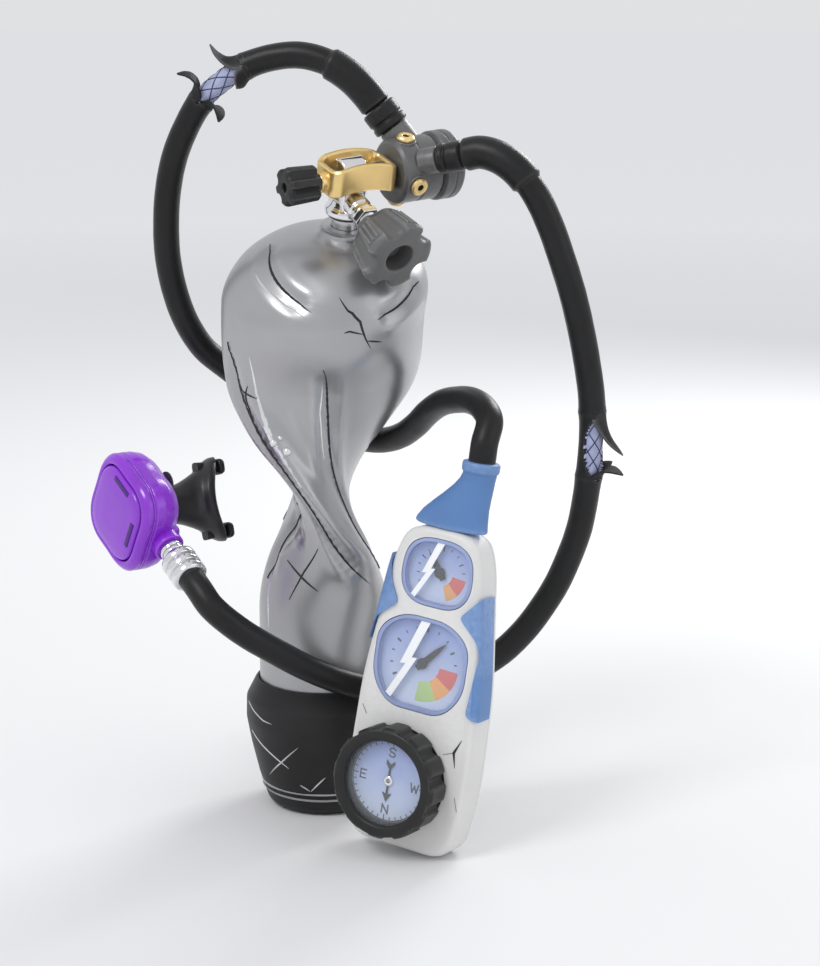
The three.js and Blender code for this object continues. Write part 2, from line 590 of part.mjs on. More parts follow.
const inletBarrel = () => {
  const outside = turned([[0, -66], [11, -66], [11, -57.5], [BARREL_R, -56], [BARREL_R, -22], [0, -22]], 20);
  return alongX(cut(outside, rod(5.5, -48, -20, 20), rod(3, -70, -40, 16))).translate(0, 0, -6);
};

const hoseFerrule = () => {
  const rings = [];
  for (let i = 0; i < 3; i += 1) {
    const z = -97 + i * 9.4;
    rings.push([13, z], [16, z + 1.5], [16.5, z + 4.4], [16, z + 7.4], [13, z + 8.8]);
  }
  return alongX(turned([[0, -97], ...rings, [0, -97 + 2 * 9.4 + 8.8]], 18)).translate(0, 0, -6);
};

const buildSecondStage = () => {
  add(secondStage, "second_stage_housing", secondStageHousing(), LOOK.purple);
  add(secondStage, "second_stage_cover", frontCover(), LOOK.purple);
  add(secondStage, "purge_cover", purgeCover(), LOOK.purple);
  add(secondStage, "mouthpiece", mouthpiece(), LOOK.silicone);
  add(secondStage, "mouthpiece_tie", pipe(19.4, 17.9, CASE.back - 10, CASE.back - 6, 20), LOOK.black);
  add(secondStage, "diaphragm", turned([[0, 9], [40, 9], [40, 10.5], [0, 10.5]], 24), LOOK.silicone);
  add(secondStage, "exhaust_valve", rod(11, -24.6, -23.2, 16).translate(0, -28, 0), LOOK.silicone);
  add(secondStage, "inlet_barrel", inletBarrel(), LOOK.chrome);
  add(secondStage, "poppet", alongX(rod(4.6, -33, -16, 16)).translate(0, 0, -6), LOOK.black);
  add(secondStage, "poppet_spring", alongX(spring(4, 0.7, -47.5, -33.4, 4)).translate(0, 0, -6), LOOK.steel);
  const lever = join(block(24, 5, 1.4).translate(-1, 0, 7.6), block(1.6, 5, 11).translate(-12.6, 0, 2.9));
  add(secondStage, "demand_lever", lever, LOOK.steel);
  add(secondStage, "breathing_hose_ferrule", hoseFerrule(), LOOK.chrome);
};

// ---------- the instrument console: x across, y towards its back, z up its length ----------
const consoleFrame = new THREE.Group();
consoleFrame.position.set(CONSOLE.x, CONSOLE.y, CONSOLE.z);
consoleFrame.quaternion
  .setFromAxisAngle(new THREE.Vector3(0, 0, 1), CONSOLE_TURN)
  .multiply(new THREE.Quaternion().setFromAxisAngle(new THREE.Vector3(1, 0, 0), CONSOLE_LEAN))
  .multiply(new THREE.Quaternion().setFromAxisAngle(new THREE.Vector3(0, 1, 0), CONSOLE_ROLL));

const consoleOutline = (grow) => {
  const w = CONSOLE.half + grow;
  const top = CONSOLE.length + grow;
  const right = [[w - 8, -grow], [w, 62], [w - 2, 150], [w - 18, top - 22], [w - 31, top]];
  return roundedOutline([...right, ...right.map(([x, z]) => [-x, z]).reverse()], 24);
};
const windowOutline = ({ x, z, w, h }, grow, taper) =>
  roundedOutline([[x - w - grow, z - h * 0.45 - grow], [x - w * 0.6, z - h - grow], [x + w * 0.6, z - h - grow],
    [x + w + grow, z - h * 0.45 - grow], [x + (w + grow) * taper, z + h * 0.6 + grow], [x + w * 0.5, z + h + grow],
    [x - w * 0.5, z + h + grow], [x - (w + grow) * taper, z + h * 0.6 + grow]], 14);
const onCompassAxis = (g) => alongMinusY(g).translate(COMPASS.x, 0, COMPASS.z);

const consoleShell = () => {
  const cavity = slab(consoleOutline(-4), FRONT + 4, SPLIT + 1);
  return cut(chamfered(consoleOutline, 0, FRONT, SPLIT, 4),
    cavity,
    slab(windowOutline(DEPTH_GAUGE, 0.6, 0.94), FRONT - 2, 0),
    slab(windowOutline(PRESSURE_GAUGE, 0.6, 1), FRONT - 2, 0),
    onCompassAxis(rod(38.4, 0, 30, 28)),
    rod(8, 270, 300, 20));
};

const gaugeCapsule = (gauge, taper) => {
  const pin = alongMinusY(rod(1.6, 2, 20, 12)).translate(gauge.x, 0, gauge.z);
  const opening = slab(windowOutline(gauge, -3, taper), FRONT - 1, DIAL_Y);
  return cut(slab(windowOutline(gauge, 0, taper), FRONT, 3), opening, pin);
};

const gaugeNeedle = (gauge, length) => {
  const blade = new THREE.Shape();
  blade.moveTo(-2.2, -6);
  blade.lineTo(2.2, -6);
  blade.lineTo(1.6, length * 0.5);
  blade.lineTo(0, length);
  blade.lineTo(-1.6, length * 0.5);
  blade.closePath();
  const hub = alongMinusY(rod(5, -DIAL_Y + 1.2, -DIAL_Y + 3.4, 20));
  const pin = alongMinusY(rod(1.2, -DIAL_Y - 5, -DIAL_Y + 2, 12));
  return join(slab(blade, DIAL_Y - 2.9, DIAL_Y - 1.5), hub, pin).rotateY(THREE.MathUtils.degToRad(gauge.needle))
    .translate(gauge.x, 0, gauge.z);
};

const gripPad = (right) => {
  const shell = chamfered(consoleOutline, FIT, FRONT - FIT, SPLIT + 5, 4);
  const skin = chamfered(consoleOutline, 2.6, FRONT - 2.6, 8, 4);
  const patch = right
    ? [[49, 134], [80, 126], [80, 246], [50, 240], [30, 218], [50, 200], [54, 188]]
    : [[-80, 165], [-57, 176], [-52, 200], [-31, 218], [-40, 236], [-46, 262], [-80, 268]];
  return common(cut(skin, shell), slab(roundedOutline(patch, 5), -40, 40));
};

const compassBezel = () => {
  const near = -FRONT + FIT;
  const far = -FRONT + COMPASS.depth;
  const notches = 12;
  const ring = turnedRing([[COMPASS.r - 2, near], [COMPASS.r, near + 3], [COMPASS.r, far - 3], [COMPASS.r - 3, far],
    [COMPASS.r - 11, far], [COMPASS.r - 12.5, far - 2], [COMPASS.r - 12.5, far - 6],
    [COMPASS.r - 5.6, far - 6], [COMPASS.r - 5.6, near]], 30);
  const cuts = Array.from({ length: notches }, (_, i) => {
    const angle = (2 * Math.PI * i) / notches;
    return rod(6, near - 1, far + 1, 8).translate((COMPASS.r + 2) * Math.cos(angle),
      (COMPASS.r + 2) * Math.sin(angle), 0);
  });
  return onCompassAxis(cut(ring, ...cuts));
};

const compassCapsule = () => {
  const r = COMPASS.r - 6;
  const far = -FRONT + COMPASS.depth - 6.4;
  return onCompassAxis(turned([[0, 4], [38, 4], [38, -FRONT], [r, -FRONT + FIT], [r, far], [r - 2.4, far],
    [r - 2.4, 16], [4, 16], [1.4, 17], [1.4, far - 12], [0, far - 11]], 28));
};

const consoleCollar = () => {
  const ring = (a, b, z) => Array.from({ length: 20 }, (_, i) => {
    const angle = (2 * Math.PI * i) / 20;
    return new THREE.Vector3(a * Math.cos(angle), b * Math.sin(angle), z);
  });
  const top = CONSOLE.length + FIT;
  return lofted([[33, 16, 0], [34, 17, 3], [31, 16.5, 12], [22, 15, 30], [15.5, 14, 47], [15, 15, 53], [16.5, 16.5, 54],
    [16.5, 16.5, 61], [15.5, 15.5, 62]].map(([a, b, z]) =>
    ring(a, b, top + z).map((p) => p.setX(p.x + COLLAR_BEND * smooth(z / 55)))));
};

const buildConsole = () => {
  const depth = { ...DEPTH_GAUGE, needle: -38 };
  const pressure = { ...PRESSURE_GAUGE, needle: 42 };
  add(consoleFrame, "console_shell", consoleShell(), LOOK.shell);
  add(consoleFrame, "console_back_cover", chamfered(consoleOutline, 0, SPLIT + FIT, BACK, 3), LOOK.shell);
  add(consoleFrame, "console_left_grip", gripPad(false), LOOK.grip);
  add(consoleFrame, "console_right_grip", gripPad(true), LOOK.grip);
  add(consoleFrame, "console_collar", consoleCollar(), LOOK.grip);
  add(consoleFrame, "depth_capsule", gaugeCapsule(depth, 0.94), LOOK.dial);
  add(consoleFrame, "depth_needle", gaugeNeedle(depth, 20), LOOK.needle);
  add(consoleFrame, "depth_lens", slab(windowOutline(depth, -3.4, 0.94), FRONT + 0.6, FRONT + 2.8), LOOK.glass);
  add(consoleFrame, "pressure_capsule", gaugeCapsule(pressure, 1), LOOK.dial);
  add(consoleFrame, "pressure_needle", gaugeNeedle(pressure, 30), LOOK.needle);
  const pressureLens = slab(windowOutline(pressure, -3.4, 1), FRONT + 0.6, FRONT + 2.8);
  add(consoleFrame, "pressure_lens", pressureLens, LOOK.glass);
  const arc = new THREE.EllipseCurve(0, 0, 20, 20, -0.5, 1.35 * Math.PI);
  const coil = new THREE.CatmullRomCurve3(arc.getPoints(16).map((p) => new THREE.Vector3(p.x, 7, p.y)));
  const bourdon = sweep(coil, circleShape(2.2), 14, 3).translate(0, 0, PRESSURE_GAUGE.z);
  add(consoleFrame, "bourdon_tube", bourdon, LOOK.brass);
  add(consoleFrame, "compass_capsule", compassCapsule(), LOOK.black);
  add(consoleFrame, "compass_bezel", compassBezel(), LOOK.black);
  const cardFrom = -FRONT + COMPASS.depth - 17;
  add(consoleFrame, "compass_card", onCompassAxis(pipe(37, 1.9, cardFrom, cardFrom + 2.4, 24)), LOOK.dial);
  const lensFrom = -FRONT + COMPASS.depth - 10;
  add(consoleFrame, "compass_lens", onCompassAxis(rod(41.2, lensFrom, lensFrom + 3, 24)), LOOK.glass);
};

add(root, "tank_shell", tankShell(), LOOK.tank);
add(root, "tank_boot", boot(), LOOK.boot);
buildHead();
buildHoses();
buildSecondStage();
buildConsole();
root.add(head, secondStage, consoleFrame);

export default root;
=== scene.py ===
"""The looks of the twisted scuba tank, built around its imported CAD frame. Metres, +Z up, -Y to the viewer."""
import json
import math

import bmesh
import bpy
from mathutils import Matrix, Quaternion, Vector, noise
from mathutils.bvhtree import BVHTree
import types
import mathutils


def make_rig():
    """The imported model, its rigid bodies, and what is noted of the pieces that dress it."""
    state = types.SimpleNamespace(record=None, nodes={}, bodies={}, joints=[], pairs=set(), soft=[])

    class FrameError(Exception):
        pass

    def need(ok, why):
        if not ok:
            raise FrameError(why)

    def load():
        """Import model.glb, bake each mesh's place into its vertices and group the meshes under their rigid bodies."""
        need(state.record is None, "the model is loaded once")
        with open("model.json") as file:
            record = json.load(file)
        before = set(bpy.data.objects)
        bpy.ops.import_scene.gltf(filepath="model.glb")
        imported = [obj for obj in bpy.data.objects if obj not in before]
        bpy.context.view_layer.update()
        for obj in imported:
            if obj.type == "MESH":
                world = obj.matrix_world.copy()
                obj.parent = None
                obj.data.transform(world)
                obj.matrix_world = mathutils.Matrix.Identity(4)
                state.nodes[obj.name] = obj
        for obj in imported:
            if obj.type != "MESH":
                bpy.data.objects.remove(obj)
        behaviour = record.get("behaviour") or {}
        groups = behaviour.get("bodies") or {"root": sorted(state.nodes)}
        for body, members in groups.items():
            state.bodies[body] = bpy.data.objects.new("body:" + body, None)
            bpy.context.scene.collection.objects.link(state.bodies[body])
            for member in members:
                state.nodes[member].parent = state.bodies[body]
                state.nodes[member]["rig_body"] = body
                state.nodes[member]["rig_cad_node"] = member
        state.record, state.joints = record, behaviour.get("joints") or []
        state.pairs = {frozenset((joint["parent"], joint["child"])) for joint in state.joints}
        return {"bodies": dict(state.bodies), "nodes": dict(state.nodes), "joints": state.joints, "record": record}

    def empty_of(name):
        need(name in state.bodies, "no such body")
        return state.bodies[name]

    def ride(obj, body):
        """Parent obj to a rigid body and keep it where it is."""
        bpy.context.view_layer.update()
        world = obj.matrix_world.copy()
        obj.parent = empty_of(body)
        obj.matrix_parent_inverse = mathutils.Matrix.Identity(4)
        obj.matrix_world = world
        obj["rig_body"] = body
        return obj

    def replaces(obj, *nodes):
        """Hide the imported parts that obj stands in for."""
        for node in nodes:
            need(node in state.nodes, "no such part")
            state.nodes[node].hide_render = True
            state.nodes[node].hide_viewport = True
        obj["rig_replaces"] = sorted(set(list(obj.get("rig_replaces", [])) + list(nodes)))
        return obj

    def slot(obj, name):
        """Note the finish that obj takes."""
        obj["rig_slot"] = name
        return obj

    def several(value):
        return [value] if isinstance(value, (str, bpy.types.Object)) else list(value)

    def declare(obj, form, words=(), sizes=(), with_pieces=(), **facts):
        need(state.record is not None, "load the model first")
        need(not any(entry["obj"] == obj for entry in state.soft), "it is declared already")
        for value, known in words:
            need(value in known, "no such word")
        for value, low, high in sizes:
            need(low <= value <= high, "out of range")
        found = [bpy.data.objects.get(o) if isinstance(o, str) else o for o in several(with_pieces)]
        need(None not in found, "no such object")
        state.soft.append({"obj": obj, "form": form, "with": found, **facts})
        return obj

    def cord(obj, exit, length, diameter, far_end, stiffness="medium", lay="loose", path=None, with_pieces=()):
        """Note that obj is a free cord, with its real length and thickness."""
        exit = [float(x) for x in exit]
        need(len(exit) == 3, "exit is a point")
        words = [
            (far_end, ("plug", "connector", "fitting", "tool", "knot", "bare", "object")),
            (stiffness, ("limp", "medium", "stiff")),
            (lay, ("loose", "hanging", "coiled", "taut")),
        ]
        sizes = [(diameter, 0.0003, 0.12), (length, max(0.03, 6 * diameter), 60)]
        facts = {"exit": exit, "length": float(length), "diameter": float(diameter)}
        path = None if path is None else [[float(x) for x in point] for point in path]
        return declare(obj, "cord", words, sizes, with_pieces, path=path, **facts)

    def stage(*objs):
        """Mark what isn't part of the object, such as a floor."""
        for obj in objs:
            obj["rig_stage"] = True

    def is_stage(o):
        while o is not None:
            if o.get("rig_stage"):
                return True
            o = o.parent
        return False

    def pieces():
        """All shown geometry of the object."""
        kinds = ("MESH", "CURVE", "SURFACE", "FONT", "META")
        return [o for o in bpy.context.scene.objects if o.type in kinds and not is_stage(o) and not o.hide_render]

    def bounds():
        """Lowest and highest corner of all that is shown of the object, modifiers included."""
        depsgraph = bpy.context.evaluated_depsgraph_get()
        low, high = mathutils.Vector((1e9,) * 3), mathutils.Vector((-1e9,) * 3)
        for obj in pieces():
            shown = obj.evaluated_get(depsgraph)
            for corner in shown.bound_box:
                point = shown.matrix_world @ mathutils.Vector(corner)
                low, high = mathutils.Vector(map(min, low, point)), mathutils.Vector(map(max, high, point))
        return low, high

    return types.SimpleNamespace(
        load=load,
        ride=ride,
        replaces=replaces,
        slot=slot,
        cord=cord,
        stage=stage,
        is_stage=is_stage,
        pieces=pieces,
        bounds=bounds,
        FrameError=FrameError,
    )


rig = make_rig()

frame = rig.load()
cad_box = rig.bounds()

MM = 0.001
SHADER = "Principled BSDF"
Z = Vector((0, 0, 1))


# ---------- camera, floor and light ----------
def added(name, data):
    """A new object in the scene."""
    thing = bpy.data.objects.new(name, data)
    bpy.context.scene.collection.objects.link(thing)
    return thing


def build_studio():
    aim = Vector((0.081, 0, 0.306))
    distance = 2.0
    elevation = math.radians(12)
    back = Vector((0, -math.cos(elevation), math.sin(elevation)))
    cam = bpy.data.cameras.new("camera")
    cam.sensor_fit = "VERTICAL"
    cam.sensor_height = 36
    cam.lens = 80.6
    eye = added("camera", cam)
    eye.location = aim + distance * back
    eye.rotation_euler = back.to_track_quat("Z", "Y").to_euler()
    bpy.context.scene.camera = eye

    bpy.ops.mesh.primitive_plane_add(size=400, location=(0, 0, -0.0004))
    floor = bpy.context.object
    floor.name = "studio_floor"
    floor.data.materials.append(floor_material())
    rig.stage(floor)

    world = bpy.data.worlds.new("studio")
    world.use_nodes = True
    backdrop = world.node_tree.nodes["Background"]
    backdrop.inputs["Color"].default_value = (0.93, 0.94, 0.96, 1)
    backdrop.inputs["Strength"].default_value = 0.8
    bpy.context.scene.world = world
    lamps = [
        ("key", (-1.3, -1.5, 2.4), 24, 0.9),
        ("fill", (2.2, -1.3, 1.2), 5, 1.4),
        ("rim", (1.2, 1.7, 1.6), 26, 0.9),
    ]
    for name, place, power, size in lamps:
        light = bpy.data.lights.new(name, "AREA")
        light.energy = power
        light.size = size
        lamp = added(name, light)
        lamp.location = place
        lamp.rotation_euler = (Vector(place) - aim).to_track_quat("Z", "Y").to_euler()
    bpy.context.scene.view_settings.view_transform = "Standard"


# ---------- materials ----------
def add_node(tree, kind, inputs=None, **settings):
    """A new shader node with its settings, and its inputs set to values or linked to other nodes."""
    node = tree.nodes.new(f"ShaderNode{kind}")
    for key, value in settings.items():
        setattr(node, key, value)
    for key, value in (inputs or {}).items():
        if isinstance(value, bpy.types.NodeSocket):
            tree.links.new(value, node.inputs[key])
        else:
            node.inputs[key].default_value = value
    return node


def colour_ramp(tree, source, first, last, low=0.0, high=1.0):
    node = add_node(tree, "ValToRGB", {"Fac": source})
    for stop, place, colour in zip(node.color_ramp.elements, (low, high), (first, last)):
        stop.position = place
        stop.color = (*colour, 1)
    return node.outputs["Color"]


def base_colour(mat, source):
    mat.node_tree.links.new(source, mat.node_tree.nodes[SHADER].inputs["Base Color"])


def floor_material():
    """Pale, and paler far out, so that the floor runs into the light behind it with no horizon."""
    pale = (0.8, 0.8, 0.805)
    mat = plain_material("studio_pale", pale, 0.95, {"Specular IOR Level": 0})
    tree = mat.node_tree
    place = add_node(tree, "TexCoord").outputs["Object"]
    out = add_node(tree, "VectorMath", {0: place}, operation="LENGTH").outputs["Value"]
    spread = add_node(tree, "MapRange", {"Value": out, "From Min": 0.7, "From Max": 6})
    base_colour(mat, colour_ramp(tree, spread.outputs["Result"], pale, (0.985, 0.99, 1)))
    return mat


def plain_material(name, colour, roughness, inputs=None):
    mat = bpy.data.materials.new(name)
    mat.use_nodes = True
    shader = mat.node_tree.nodes[SHADER]
    for key, value in {"Base Color": (*colour, 1), "Roughness": roughness, **(inputs or {})}.items():
        shader.inputs[key].default_value = value
    return mat


def worked_material(name, colour, roughness, metallic=0.0, shade=0.8, patch=30, patch_depth=0.5, grain=900,
                    grain_depth=0.05, wear=None, wear_amount=0.0, coat=0.0, rough_swing=0.12,
                    stretch=(1, 1, 1), shine=0.5):
    """A surface with cloudy colour and roughness, a fine grain in its bump, and wear on its edges."""
    mat = plain_material(name, colour, roughness, {
        "Metallic": metallic, "Coat Weight": coat, "Coat Roughness": 0.08, "Specular IOR Level": shine})
    tree = mat.node_tree
    shader = tree.nodes[SHADER]
    place = add_node(tree, "TexCoord").outputs["Object"]
    place = add_node(tree, "Mapping", {"Vector": place, "Scale": stretch}).outputs["Vector"]

    def cloud(scale, detail):
        return add_node(tree, "TexNoise", {"Vector": place, "Scale": scale, "Detail": detail}).outputs["Fac"]

    large = cloud(patch, 4)
    fine = cloud(grain, 3)
    dark = [c * shade for c in colour]
    surface = colour_ramp(tree, large, dark, colour, 0.5 - patch_depth / 2, 0.5 + patch_depth / 2)
    if wear:
        edges = add_node(tree, "NewGeometry").outputs["Pointiness"]
        mask = colour_ramp(tree, edges, (0, 0, 0), (wear_amount,) * 3, 0.505, 0.56)
        broken = add_node(tree, "Math", {0: mask, 1: cloud(220, 5)}, operation="MULTIPLY").outputs[0]
        mix = {"Factor": broken, "A": surface, "B": (*wear, 1)}
        surface = add_node(tree, "Mix", mix, data_type="RGBA").outputs["Result"]
    base_colour(mat, surface)

    spread = add_node(tree, "MapRange", {"Value": large, "To Min": max(0.02, roughness - rough_swing),
                                         "To Max": min(1.0, roughness + rough_swing)})
    tree.links.new(spread.outputs["Result"], shader.inputs["Roughness"])
    bump = add_node(tree, "Bump", {"Strength": grain_depth, "Distance": 0.001, "Height": fine})
    tree.links.new(bump.outputs["Normal"], shader.inputs["Normal"])
    return mat


def glass_material(name, tint, alpha):
    return plain_material(name, tint, 0.04, {"Alpha": alpha, "Specular IOR Level": 0.7})


def gradient_material(name, low, high, axis, start, end):
    """A fade from one colour to another between two places along an axis, with a soft mottle."""
    mat = worked_material(name, high, 0.35, grain_depth=0.02)
    tree = mat.node_tree
    place = add_node(tree, "TexCoord").outputs["Object"]
    along = add_node(tree, "VectorMath", {0: place, 1: axis}, operation="DOT_PRODUCT").outputs["Value"]
    spread = add_node(tree, "MapRange", {"Value": along, "From Min": start, "From Max": end}).outputs["Result"]
    mottle = add_node(tree, "TexNoise", {"Vector": place, "Scale": 45}).outputs["Fac"]
    middle = add_node(tree, "Math", {0: spread, 1: 0.25}, operation="SUBTRACT").outputs[0]
    shift = add_node(tree, "Math", {0: mottle, 1: 0.5, 2: middle}, operation="MULTIPLY_ADD").outputs[0]
    base_colour(mat, colour_ramp(tree, shift, low, high))
    return mat


MATERIALS = {
    "tank": worked_material("tank_metal", (0.47, 0.47, 0.48), 0.34, metallic=0.75, shade=0.78, patch=9,
                            patch_depth=0.6, grain=700, grain_depth=0.06, wear=(0.75, 0.75, 0.76), wear_amount=0.7,
                            rough_swing=0.1, stretch=(1, 1, 0.5)),
    # Painted shade: near-black strips laid in the tank's folds and cracks and in the console shell's creases.
    "crease": worked_material("crease_dark", (0.018, 0.018, 0.02), 0.6, grain_depth=0.05),
    "scratch": worked_material("scratch_pale", (0.62, 0.62, 0.62), 0.6, grain_depth=0.1),
    # Painted highlight: the pale glint strips on the tank's skin and the colour of its blisters.
    "glint": worked_material("bare_metal", (0.85, 0.85, 0.86), 0.25, metallic=0.7),
    "boot": worked_material("boot_rubber", (0.022, 0.022, 0.023), 0.48, shade=0.5, patch=18, grain=1300,
                            grain_depth=0.22, wear=(0.1, 0.1, 0.1), wear_amount=0.3, shine=0.28),
    "chrome": worked_material("chrome", (0.86, 0.86, 0.87), 0.14, metallic=1.0, shade=0.9, grain_depth=0.02,
                              rough_swing=0.07),
    "brass": worked_material("brass", (0.98, 0.71, 0.3), 0.3, metallic=0.75, shade=0.8, patch=40, grain_depth=0.05,
                             wear=(1.0, 0.9, 0.6), wear_amount=0.8, rough_swing=0.1),
    "knob": worked_material("knob_plastic", (0.125, 0.125, 0.125), 0.42, shade=0.75, grain=1600, grain_depth=0.14,
                            wear=(0.32, 0.32, 0.32), wear_amount=0.8),
    "black": worked_material("black_plastic", (0.022, 0.022, 0.022), 0.38, shade=0.6, grain=1600, grain_depth=0.12,
                             wear=(0.14, 0.14, 0.14), wear_amount=0.8, shine=0.3),
    "stage": worked_material("stage_metal", (0.12, 0.12, 0.122), 0.36, metallic=0.2, shade=0.72, grain=1400,
                             grain_depth=0.1, wear=(0.42, 0.42, 0.42), wear_amount=0.8),
    "hose": worked_material("hose_rubber", (0.011, 0.011, 0.012), 0.34, shade=0.5, patch=22, grain=1500,
                            grain_depth=0.18, wear=(0.1, 0.1, 0.1), wear_amount=0.6, shine=0.28),
    "torn": worked_material("torn_rubber", (0.03, 0.03, 0.032), 0.7, shade=0.5, patch=60, grain=900,
                            grain_depth=0.4, wear=(0.2, 0.2, 0.2), wear_amount=0.8, shine=0.2),
    "strand": worked_material("braid_strand", (0.03, 0.035, 0.11), 0.5, grain_depth=0.1),
    "braid": worked_material("hose_braid", (0.44, 0.48, 0.72), 0.5, shade=0.7, patch=120, grain=2200,
                             grain_depth=0.3, wear=(0.75, 0.78, 0.95), wear_amount=0.9),
    "silicone": worked_material("silicone_black", (0.026, 0.026, 0.027), 0.36, shade=0.6, grain=900,
                                grain_depth=0.06, wear=(0.12, 0.12, 0.12), wear_amount=0.7, shine=0.35),
    "steel": worked_material("steel", (0.5, 0.5, 0.51), 0.28, metallic=1.0, grain_depth=0.05),
    "purple": worked_material("purple_plastic", (0.3, 0.022, 0.74), 0.27, shade=0.72, patch=14, grain=900,
                              grain_depth=0.03, wear=(0.52, 0.22, 0.92), wear_amount=0.9, coat=0.4),
    # Painted shade: the dark fill in the purge cover's slots and in the gap round it; the console's seam is this
    # colour too.
    "slot": worked_material("purple_shadow", (0.06, 0.006, 0.2), 0.5),
    "shell": worked_material("shell_plastic", (0.74, 0.735, 0.725), 0.42, shade=0.9, patch=12, grain=1200,
                             grain_depth=0.08, wear=(0.9, 0.9, 0.9), wear_amount=0.5),
    "grip": worked_material("blue_rubber", (0.105, 0.235, 0.52), 0.5, shade=0.8, patch=16, grain=1300,
                            grain_depth=0.14, wear=(0.36, 0.5, 0.8), wear_amount=0.7),
    "rim": worked_material("window_rim", (0.33, 0.4, 0.66), 0.4, shade=0.85, grain_depth=0.06),
    # Black of the needles, hubs and compass arrow, and painted shade in the plugs' hex sockets and the screw heads'
    # slots.
    "needle": worked_material("needle_black", (0.004, 0.004, 0.004), 0.5, grain_depth=0.04, shine=0.1),
    "mark": worked_material("dial_mark", (0.03, 0.035, 0.07), 0.5, grain_depth=0.04),
    "red": worked_material("sector_red", (0.72, 0.12, 0.1), 0.45, shade=0.85, grain_depth=0.04),
    "orange": worked_material("sector_orange", (0.9, 0.4, 0.1), 0.45, shade=0.85, grain_depth=0.04),
    "green": worked_material("sector_green", (0.45, 0.66, 0.22), 0.45, shade=0.85, grain_depth=0.04),
    # Painted highlight: a white lightning-shaped reflection laid on the gauges' glass.
    "crack": worked_material("glass_crack", (0.95, 0.97, 1.0), 0.3, shade=0.95, grain_depth=0.2),
    "glass": glass_material("lens_glass", (0.9, 0.94, 1.0), 0.09),
}


# ---------- frames of reference, from the joints ----------
BRANCH_DROP, BRANCH_DROOP = 17, 12  # the handwheel's branch: millimetres under the outlet, degrees below level
INLET_DROP = 6  # the second stage's inlet lies this far behind its origin


def joint(name):
    return next(j for j in frame["joints"] if j["name"] == name)


def placed(origin, x, y, z):
    basis = Matrix((x, y, z)).transposed().to_4x4()
    return Matrix.Translation(origin) @ basis


def moved(place, x=0, y=0, z=0):
    """A frame moved along its own axes, in millimetres."""
    return place @ Matrix.Translation((x * MM, y * MM, z * MM))


def turned(place, degrees, axis):
    return place @ Matrix.Rotation(math.radians(degrees), 4, axis)


def head_frame():
    """The valve's frame: x along the outlet, z up the post, with its origin on the outlet's axis."""
    x = -Vector(joint("yoke_screw_turn")["axis"])
    outward = Vector(joint("valve_knob_turn")["axis"])
    across = x.cross(outward)
    droop = math.radians(BRANCH_DROOP)
    y = -math.cos(droop) * outward + math.sin(droop) * across
    z = -math.sin(droop) * outward - math.cos(droop) * across
    return placed(Vector(joint("valve_knob_turn")["pos_m"]) + BRANCH_DROP * MM * z, x, y, z)


def second_stage_frame():
    """z out of the front face, x along the inlet, away from its hose."""
    x = Vector(joint("second_stage_swivel")["axis"])
    z = -Vector(joint("purge_press")["axis"])
    y = z.cross(x)
    inlet_at = Vector(joint("second_stage_swivel")["pos_m"])
    return placed(inlet_at + MM * (60 * x + INLET_DROP * z), x, y, z)


DIAL_Y = -11
DEPTH_AT = Vector((2, DIAL_Y, 251))
PRESSURE_AT = Vector((-2, DIAL_Y, 168))
COMPASS_AT = Vector((-8, -30, 63))


def console_frame():
    """x across the console, y towards its back, z up its length."""
    y = Vector(joint("compass_bezel_turn")["axis"])
    apart = DEPTH_AT - PRESSURE_AT
    rise = Vector(joint("depth_needle_swing")["pos_m"]) - Vector(joint("pressure_needle_swing")["pos_m"])
    rise.normalize()
    across = y.cross(rise)
    span = math.hypot(apart.x, apart.z)
    x = (apart.x * rise + apart.z * across) / span
    z = (apart.z * rise - apart.x * across) / span
    at = Vector(joint("compass_bezel_turn")["pos_m"])
    return placed(at - MM * (COMPASS_AT.x * x + COMPASS_AT.y * y + COMPASS_AT.z * z), x, y, z)


HEAD = head_frame()
SECOND = second_stage_frame()
CONSOLE = console_frame()
ALONG_X = Matrix(((0, 0, 1, 0), (1, 0, 0, 0), (0, 1, 0, 0), (0, 0, 0, 1)))  # lays what is made along z along x
KNOB_AXIS = turned(moved(HEAD, z=-BRANCH_DROP), 90 + BRANCH_DROOP, "X")
VALVE_BACK = turned(moved(HEAD, z=-BRANCH_DROP), -90, "X")
INLET = moved(SECOND, z=-INLET_DROP) @ ALONG_X


# ---------- mesh building ----------
def smoothed(mesh, sharp):
    """Smooth shading, with the edges sharper than an angle in degrees kept sharp."""
    mesh.shade_smooth()
    limit = math.radians(sharp)
    mesh.set_sharp_from_angle(angle=limit)


def new_object(name, mesh, material, smooth=True, sharp=35):
    piece = added(name, mesh)
    if material:
        mesh.materials.append(MATERIALS[material])
    if smooth:
        smoothed(mesh, sharp)
    return piece


def finished(piece, body, slot, *nodes):
    """Rides the piece on its body, names its material slot and hides the CAD nodes that it stands for."""
    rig.ride(piece, body)
    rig.slot(piece, slot)
    if nodes:
        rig.replaces(piece, *nodes)
    return piece


def mesh_of(name, points, faces):
    mesh = bpy.data.meshes.new(name)
    mesh.from_pydata([tuple(p) for p in points], [], faces)
    mesh.update()
    return mesh


def skin_rings(rings, loop=False):
    """Quads between rings of points; each end is closed by a face unless the rings make a loop."""
    n, count = len(rings[0]), len(rings)
    faces = []
    for k in range(count if loop else count - 1):
        a, b = k * n, ((k + 1) % count) * n
        for i in range(n):
            j = (i + 1) % n
            faces.append((a + i, a + j, b + j, b + i))
    if not loop:
        faces.append(tuple(range(n))[::-1])
        faces.append(tuple(range((count - 1) * n, count * n)))
    return mesh_of("skin", [p for ring in rings for p in ring], faces)


def skinned(name, rings, material, loop=False, **look):
    return new_object(name, skin_rings(rings, loop), material, **look)


